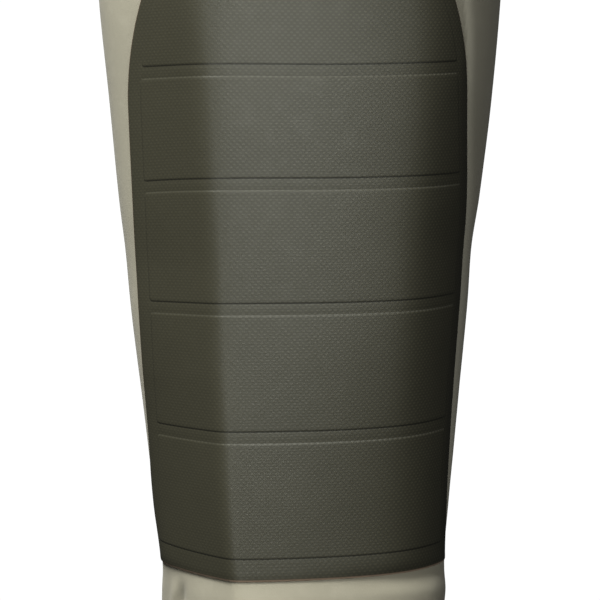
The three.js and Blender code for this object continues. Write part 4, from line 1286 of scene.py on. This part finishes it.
def make_hem_stitches():
    share = np.linspace(-0.5, 0.5, 480)
    rim = rim_height(share)
    lines = []
    for below in HEM_STITCHES:
        z = rim - below
        arc = share * leg.girth_at(z)
        depth = HEM_RAISE + fold_depth(z, arc) + 0.05
        places = leg.point(z, arc, depth)
        directions = leg.point(z, arc, depth + 1) - places
        lines.append((places, directions))
    obj = bars_along("hem_stitches", lines, (2.3, 0.5, 0.42), 3.2, thread())
    hold(obj, "fabric")


def make_strap_stitches():
    """A box of stitches with a cross in it, where the strap is sewn down."""
    out = BEHIND_SLIDER + HALF_WEB
    half, foot, top = STRAP_STITCHES
    corners = [(-half, foot), (half, foot), (half, top), (-half, top)]
    t = np.linspace(0.02, 0.98, 24)
    lines = []
    for start, end in ((0, 1), (1, 2), (2, 3), (3, 0), (0, 2), (1, 3)):
        (across0, up0), (across1, up1) = corners[start], corners[end]
        places = strap_point(out, lerp(up0, up1, t), lerp(across0, across1, t))
        lines.append((places, np.tile((-1.0, 0.0, 0.0), (len(t), 1))))
    obj = bars_along("strap_stitches", lines, (2.2, 0.55, 0.42), 3.0, thread())
    hold(obj, "webbing")


# Height of the ribs' middle as a share of the foxing band, and how far round the ring they go from the
# toe to either side, as a share of it
RIBS_UP = 0.27
RIBS_REACH = 0.21


def make_toe_ribs(outer, share):
    """Upright ribs in the foxing round the toe."""
    row = int(np.argmin(np.abs(share - RIBS_UP)))
    reach = int(BOOT_COLUMNS * RIBS_REACH)
    numbers = np.arange(-reach, reach + 1) % BOOT_COLUMNS
    normal = out_of(outer)[row, numbers]
    places = outer[row, numbers] - 0.25 * normal
    obj = bars_along("toe_ribs", [(places, normal)], (1.5, 7.2, 1.5), 3.4, boot_rubber())
    hold(obj, "boot")


# Materials


class Wire:
    """A socket of a material's nodes. Sums on wires add Math nodes."""

    def __init__(self, shader, socket):
        self.shader = shader
        self.socket = socket

    def math(self, operation, *values):
        return self.shader.node("ShaderNodeMath", {"operation": operation}, dict(enumerate(values)))

    def __add__(self, other):
        return self.math("ADD", self, other)

    def __radd__(self, other):
        return self.math("ADD", other, self)

    def __sub__(self, other):
        return self.math("SUBTRACT", self, other)

    def __rsub__(self, other):
        return self.math("SUBTRACT", other, self)

    def __mul__(self, other):
        return self.math("MULTIPLY", self, other)

    def __rmul__(self, other):
        return self.math("MULTIPLY", other, self)

    def wave(self, pitch):
        """A cosine that repeats at the pitch."""
        return self.math("COSINE", self * (2 * math.pi / pitch))

    def size(self):
        return self.math("ABSOLUTE", self)

    def highest(self, other):
        return self.math("MAXIMUM", self, other)

    def step(self, low, high):
        """0 below low and 1 above high, softly between them."""
        settings = {"interpolation_type": "SMOOTHSTEP"}
        sockets = {"Value": self, "From Min": low, "From Max": high}
        return self.shader.node("ShaderNodeMapRange", settings, sockets)


class Shader:
    """A material under construction, with its own Principled shader."""

    def __init__(self, name, **plain):
        self.material = bpy.data.materials.new(name)
        self.material.use_nodes = True
        self.tree = self.material.node_tree
        self.tree.nodes.clear()
        values = {socket.replace("_", " "): value for socket, value in plain.items()}
        self.surface = new_node(self.tree, "ShaderNodeBsdfPrincipled", None, values)
        new_node(self.tree, "ShaderNodeOutputMaterial", None, {"Surface": self.surface.outputs[0]})

    def node(self, kind, settings=None, sockets=None, out=0):
        """A node, by one of its outputs. Wires among its sockets' values are linked."""
        values = {name: getattr(value, "socket", value) for name, value in (sockets or {}).items()}
        return Wire(self, new_node(self.tree, kind, settings, values).outputs[out])

    def give(self, socket, wire):
        self.tree.links.new(wire.socket, self.surface.inputs[socket])

    def scaled(self, vector):
        """A vector in metres turned into millimetres."""
        sockets = {0: vector, "Scale": 1 / MM}
        return self.node("ShaderNodeVectorMath", {"operation": "SCALE"}, sockets)

    def place(self):
        """Object coordinates in millimetres."""
        return self.scaled(self.node("ShaderNodeTexCoord", out="Object"))

    def cloth(self):
        """The piece's own unwrapping, in millimetres."""
        return self.scaled(self.node("ShaderNodeUVMap", {"uv_map": "cloth"}))

    def attribute(self, name, out="Fac"):
        """A value that the piece's mesh holds for each of its points."""
        return self.node("ShaderNodeAttribute", {"attribute_name": name}, out=out)

    def part(self, vector, axis):
        return self.node("ShaderNodeSeparateXYZ", None, {0: vector}, axis)

    def noise(self, vector, size, detail=2.0, roughness=0.5):
        """Noise with lumps of the given size in millimetres, about 0.5 on average."""
        sockets = {"Vector": vector, "Scale": 1 / size, "Detail": detail, "Roughness": roughness}
        return self.node("ShaderNodeTexNoise", None, sockets)

    def mix(self, factor, low, high):
        return self.node("ShaderNodeMix", {"data_type": "RGBA"}, {"Factor": factor, 6: low, 7: high}, 2)

    def finished(self, colour, roughness, relief):
        """The material, with its colour, its roughness and its relief in millimetres."""
        self.give("Base Color", colour)
        self.give("Roughness", roughness)
        self.give("Normal", self.node("ShaderNodeBump", None, {"Height": relief, "Distance": MM}))
        return self.material


def paint(red, green, blue):
    return (red, green, blue, 1.0)


WEAVE_PITCH = 0.62


def coated_fabric():
    """Sage cloth with a thin coating: a close weave, hardly raised, and a soft sheen. It is darker above
    the shin, painted paler beside the patch's inner edge as a painted highlight, and a little soiled
    above the boot."""
    s = Shader("coated_fabric", Sheen_Weight=0.12, Sheen_Roughness=0.5)
    at = s.place()
    flat = s.cloth()
    height = s.part(at, "Z")
    weave = s.part(flat, "X").wave(WEAVE_PITCH) * s.part(flat, "Y").wave(WEAVE_PITCH)
    grain = s.noise(at, 0.9, 3.0)
    cloud = s.noise(at, 38.0)
    speck = s.noise(at, 2.6, 4.0)
    rub = s.noise(at, 12.0, 3.0).step(0.56, 0.76)
    tone = (cloud - 0.5) * 0.30 + (speck - 0.5) * 0.22 + 0.5
    colour = s.mix(tone, paint(0.38, 0.357, 0.271), paint(0.53, 0.502, 0.393))
    colour = s.mix(rub * 0.25, colour, paint(0.57, 0.54, 0.43))
    colour = s.mix(height.step(298.0, 350.0) * 0.31, colour, paint(0.22, 0.21, 0.165))
    # Painted highlight: the fabric beside the patch's inner edge painted paler
    colour = s.mix(s.attribute("painted_highlight") * 0.95, colour, paint(0.66, 0.63, 0.505))
    soil = height.step(330.0, 225.0) * s.noise(at, 21.0, 4.0).step(0.42, 0.66) * 0.35
    colour = s.mix(soil, colour, paint(0.21, 0.18, 0.125))
    roughness = 0.56 + (speck - 0.5) * 0.22 + rub * 0.08
    return s.finished(colour, roughness, weave * 0.018 + grain * 0.05 + cloud * 0.35)


# The sheet's emboss: staggered knobs, by their pitch round the leg and up it
KNOB_ACROSS = 2.73
KNOB_UP = 2.64


def patch_rubber():
    """Dark olive rubberised cloth with a fine staggered emboss, its knobs painted lighter and the hollows
    between them darker as painted shade, greyer and smoother where it is rubbed.
    Its pads have a painted shade line under their lower edge and along their sides, and a painted
    highlight line over their upper edge."""
    s = Shader("patch_rubber", Specular_IOR_Level=1.0, Specular_Tint=(0.97, 1.0, 0.97, 1))
    flat = s.attribute("flat", "Vector")
    at = s.place()
    arc, up = s.part(flat, "X"), s.part(flat, "Y")
    knobs = arc.wave(KNOB_ACROSS) * up.wave(KNOB_UP)
    dots = (knobs + up.wave(KNOB_UP / 2) * 0.42).step(-0.15, 0.95)
    grain = s.noise(at, 0.8, 3.0)
    cloud = s.noise(at, 24.0, 3.0)
    line = s.attribute("line")
    rubbed = s.attribute("raised") * s.noise(at, 9.0, 4.0).step(0.46, 0.72)
    # The emboss is painted into the colour as well: knobs lighter and the hollows between them darker, as
    # painted shade, more strongly towards the medial side
    emboss = (dots - 0.5) * (0.50 + arc.step(-60.0, 75.0) * 0.60)
    tone = 0.52 + (cloud - 0.5) * 0.3 + (grain - 0.5) * 0.3 + emboss
    colour = s.mix(tone, paint(0.0365, 0.0345, 0.021), paint(0.0608, 0.057, 0.035))
    colour = s.mix(rubbed * 0.06, colour, paint(0.085, 0.082, 0.060))
    colour = s.mix(s.attribute("shaded") * 0.5, colour, paint(0.014, 0.012, 0.008))
    # Painted shade under the pads' lower edges and along their sides
    colour = s.mix((0 - line).highest(0.0) * 0.75, colour, paint(0.009, 0.008, 0.005))
    dashes = arc.wave(KNOB_ACROSS) * 0.4 + 0.6
    # Painted highlight along the pads' upper edges, in dashes, stronger away from the outer facet
    wear_and_painted_highlight = line.highest(0.0) * dashes * (0.10 + arc.step(-38.0, -20.0) * 0.36)
    colour = s.mix(wear_and_painted_highlight, colour, paint(0.125, 0.122, 0.100))
    hem = up.step(PATCH_BOTTOM + 1.4, PATCH_BOTTOM + 0.6)
    trim = s.mix(hem, paint(0.13, 0.072, 0.045), paint(0.46, 0.33, 0.24))
    colour = s.mix(s.attribute("rim"), colour, trim)
    roughness = 0.52 - rubbed * 0.03 + (grain - 0.5) * 0.14 - dots * 0.06
    return s.finished(colour, roughness, dots * 0.024 + grain * 0.03 + cloud * 0.2)


@cache
def boot_rubber():
    """Dark olive brown rubber, scuffed and dusty towards the ground."""
    s = Shader("boot_rubber")
    at = s.place()
    cloud = s.noise(at, 30.0, 3.0)
    grain = s.noise(at, 0.9, 3.0)
    scuff = s.noise(at, 7.0, 5.0, 0.62).step(0.60, 0.74)
    low = s.part(at, "Z").step(95.0, 18.0)
    dust = low * s.noise(at, 16.0, 4.0).step(0.40, 0.68)
    tone = 0.5 + (cloud - 0.5) * 0.8
    colour = s.mix(tone, paint(0.040, 0.038, 0.027), paint(0.066, 0.063, 0.045))
    colour = s.mix(scuff * (0.10 + low * 0.30), colour, paint(0.125, 0.120, 0.098))
    colour = s.mix(dust * 0.30, colour, paint(0.17, 0.15, 0.11))
    roughness = 0.46 + (cloud - 0.5) * 0.14 + scuff * 0.14 + dust * 0.2
    return s.finished(colour, roughness, grain * 0.07 + cloud * 0.5 - scuff * 0.04)


def sole_rubber():
    """Near-black rubber, worn paler where it meets the ground."""
    s = Shader("sole_rubber")
    at = s.place()
    cloud = s.noise(at, 18.0, 3.0)
    grain = s.noise(at, 1.1, 3.0)
    wear = s.part(at, "Z").step(5.0, 0.2) * s.noise(at, 6.0, 4.0).step(0.38, 0.62)
    tone = 0.5 + (cloud - 0.5) * 0.7
    colour = s.mix(tone, paint(0.018, 0.017, 0.013), paint(0.032, 0.030, 0.023))
    colour = s.mix(wear * 0.55, colour, paint(0.10, 0.09, 0.070))
    roughness = 0.66 + (grain - 0.5) * 0.2 + wear * 0.14
    return s.finished(colour, roughness, grain * 0.12 + cloud * 0.2)


def footbed_cloth():
    """Knitted grey cloth with a fuzzy face."""
    s = Shader("footbed_cloth", Sheen_Weight=0.25, Sheen_Roughness=0.6)
    at = s.place()
    knit = s.part(at, "X").wave(1.6) * s.part(at, "Y").wave(1.6)
    fuzz = s.noise(at, 0.7, 4.0)
    wear_and_painted_highlight = s.noise(at, 34.0).step(0.42, 0.68)
    tone = 0.5 + (fuzz - 0.5) * 0.8 + knit * 0.15
    colour = s.mix(tone, paint(0.045, 0.045, 0.040), paint(0.090, 0.090, 0.082))
    colour = s.mix(wear_and_painted_highlight * 0.35, colour, paint(0.115, 0.110, 0.095))
    return s.finished(colour, 0.94 - wear_and_painted_highlight * 0.14, knit * 0.10 + fuzz * 0.16)


def webbing():
    """Ribbed webbing: ribs along it, each made of slanting threads, and a denser edge."""
    s = Shader("webbing", Sheen_Weight=0.2, Sheen_Roughness=0.5)
    flat = s.attribute("flat", "Vector")
    along, across = s.part(flat, "X"), s.part(flat, "Y")
    at = s.place()
    ribs = across.wave(2.4)
    threads = (along + across.size() * 0.8).wave(1.1)
    fuzz = s.noise(at, 0.5, 3.0)
    cloud = s.noise(at, 20.0)
    tone = 0.48 + ribs * 0.18 + threads * 0.14 + (fuzz - 0.5) * 0.3 + (cloud - 0.5) * 0.3
    colour = s.mix(tone, paint(0.024, 0.023, 0.016), paint(0.070, 0.066, 0.047))
    return s.finished(colour, 0.82 - ribs * 0.06, ribs * 0.16 + threads * 0.09 + fuzz * 0.05)


def moulded_plastic():
    s = Shader("moulded_plastic")
    at = s.place()
    grain = s.noise(at, 0.6)
    rub = s.noise(at, 5.0, 4.0).step(0.55, 0.72)
    colour = s.mix(rub * 0.5, paint(0.015, 0.0145, 0.012), paint(0.035, 0.034, 0.030))
    return s.finished(colour, 0.36 + grain * 0.14 + rub * 0.12, grain * 0.04)


@cache
def thread():
    s = Shader("thread", Sheen_Weight=0.3)
    fray = s.noise(s.place(), 0.4, 3.0)
    colour = s.mix(fray, paint(0.075, 0.072, 0.052), paint(0.150, 0.145, 0.110))
    return s.finished(colour, 0.70 + fray * 0.1, fray * 0.05)


def pale_floor():
    s = Shader("pale_floor", Roughness=0.85)
    cloud = s.noise(s.place(), 300.0, 1.0)
    s.give("Base Color", s.mix(cloud, paint(0.60, 0.60, 0.59), paint(0.64, 0.64, 0.63)))
    return s.material


# Room and light

FLOOR_RADIUS = 1650.0
FLOOR_SIDES = 96
AMBIENT = 0.02
KNEE = (0, LEG_AXIS_Y, 450)
LOW_SHIN = (0, 0, 350)
WARM = (1.0, 0.998, 0.955)
WHITE = (1.0, 1.0, 1.0)

# Soft lights: name, place, what it is turned to, width and height, watts, colour
LAMPS = [
    ("key_high", (-200, -1440, 2610), KNEE, (670, 480), 57.0, WARM),
    ("key_middle", (-250, -1432, 1970), KNEE, (670, 480), 28.0, WARM),
    ("left_high", (-1418, -265, 2610), KNEE, (670, 480), 32.0, WARM),
    ("front_gloss", (450, -794, 500), KNEE, (240, 300), 1.5, WARM),
    ("side_gloss", (779, -465, 500), KNEE, (240, 300), 0.32, WARM),
    ("low_front", (0, -915, 200), KNEE, (300, 200), 0.63, WARM),
    ("back", (-343, 1599, 1700), LOW_SHIN, (900, 900), 26.0, WHITE),
]


def make_floor():
    turn = np.arange(FLOOR_SIDES) * (2 * math.pi / FLOOR_SIDES)
    ring = np.stack([np.cos(turn), np.sin(turn), 0 * turn], axis=-1) * FLOOR_RADIUS
    ring[:, 2] = -0.2
    obj = piece_from("floor", ring, [list(range(FLOOR_SIDES))], pale_floor())
    obj.visible_diffuse = False
    obj.visible_glossy = False


def soft_light(name, place, aim, size, power, colour):
    data = bpy.data.lights.new(name, "AREA")
    data.shape = "RECTANGLE"
    data.size, data.size_y = (side * MM for side in size)
    data.energy = power
    data.color = colour
    lamp = placed(name, data)
    lamp.location = Vector(place) * MM
    lamp.rotation_euler = (Vector(aim) - Vector(place)).to_track_quat("-Z", "Y").to_euler()
    lamp.visible_camera = False


def light_room():
    """White behind the wader, and little light from that white, so that its sides turn dark."""
    world = bpy.data.worlds.new("studio")
    world.use_nodes = True
    tree = world.node_tree
    tree.nodes.clear()
    grounds = []
    for colour, strength in (((0.93, 0.97, 1.0, 1), AMBIENT), (paint(*WHITE), 1.05)):
        ground = new_node(tree, "ShaderNodeBackground", None, {"Color": colour, "Strength": strength})
        grounds.append(ground.outputs[0])
    seen = new_node(tree, "ShaderNodeLightPath").outputs["Is Camera Ray"]
    mixed = new_node(tree, "ShaderNodeMixShader", None, {0: seen, 1: grounds[0], 2: grounds[1]})
    new_node(tree, "ShaderNodeOutputWorld", None, {"Surface": mixed.outputs[0]})
    bpy.context.scene.world = world
    bpy.context.scene.view_settings.view_transform = "Standard"
    for lamp in LAMPS:
        soft_light(*lamp)


def save_size():
    def plain(box):
        return [[float(v) for v in corner] for corner in box]


make_leg_fabric()
make_shin_patch()
boot_surface, foxing_share = make_rubber_boot()
make_toe_ribs(boot_surface, foxing_share)
make_lugged_sole()
make_footbed()
make_web_strap()
make_slider_frame()
make_hem_stitches()
make_strap_stitches()
make_floor()
light_room()
save_size()
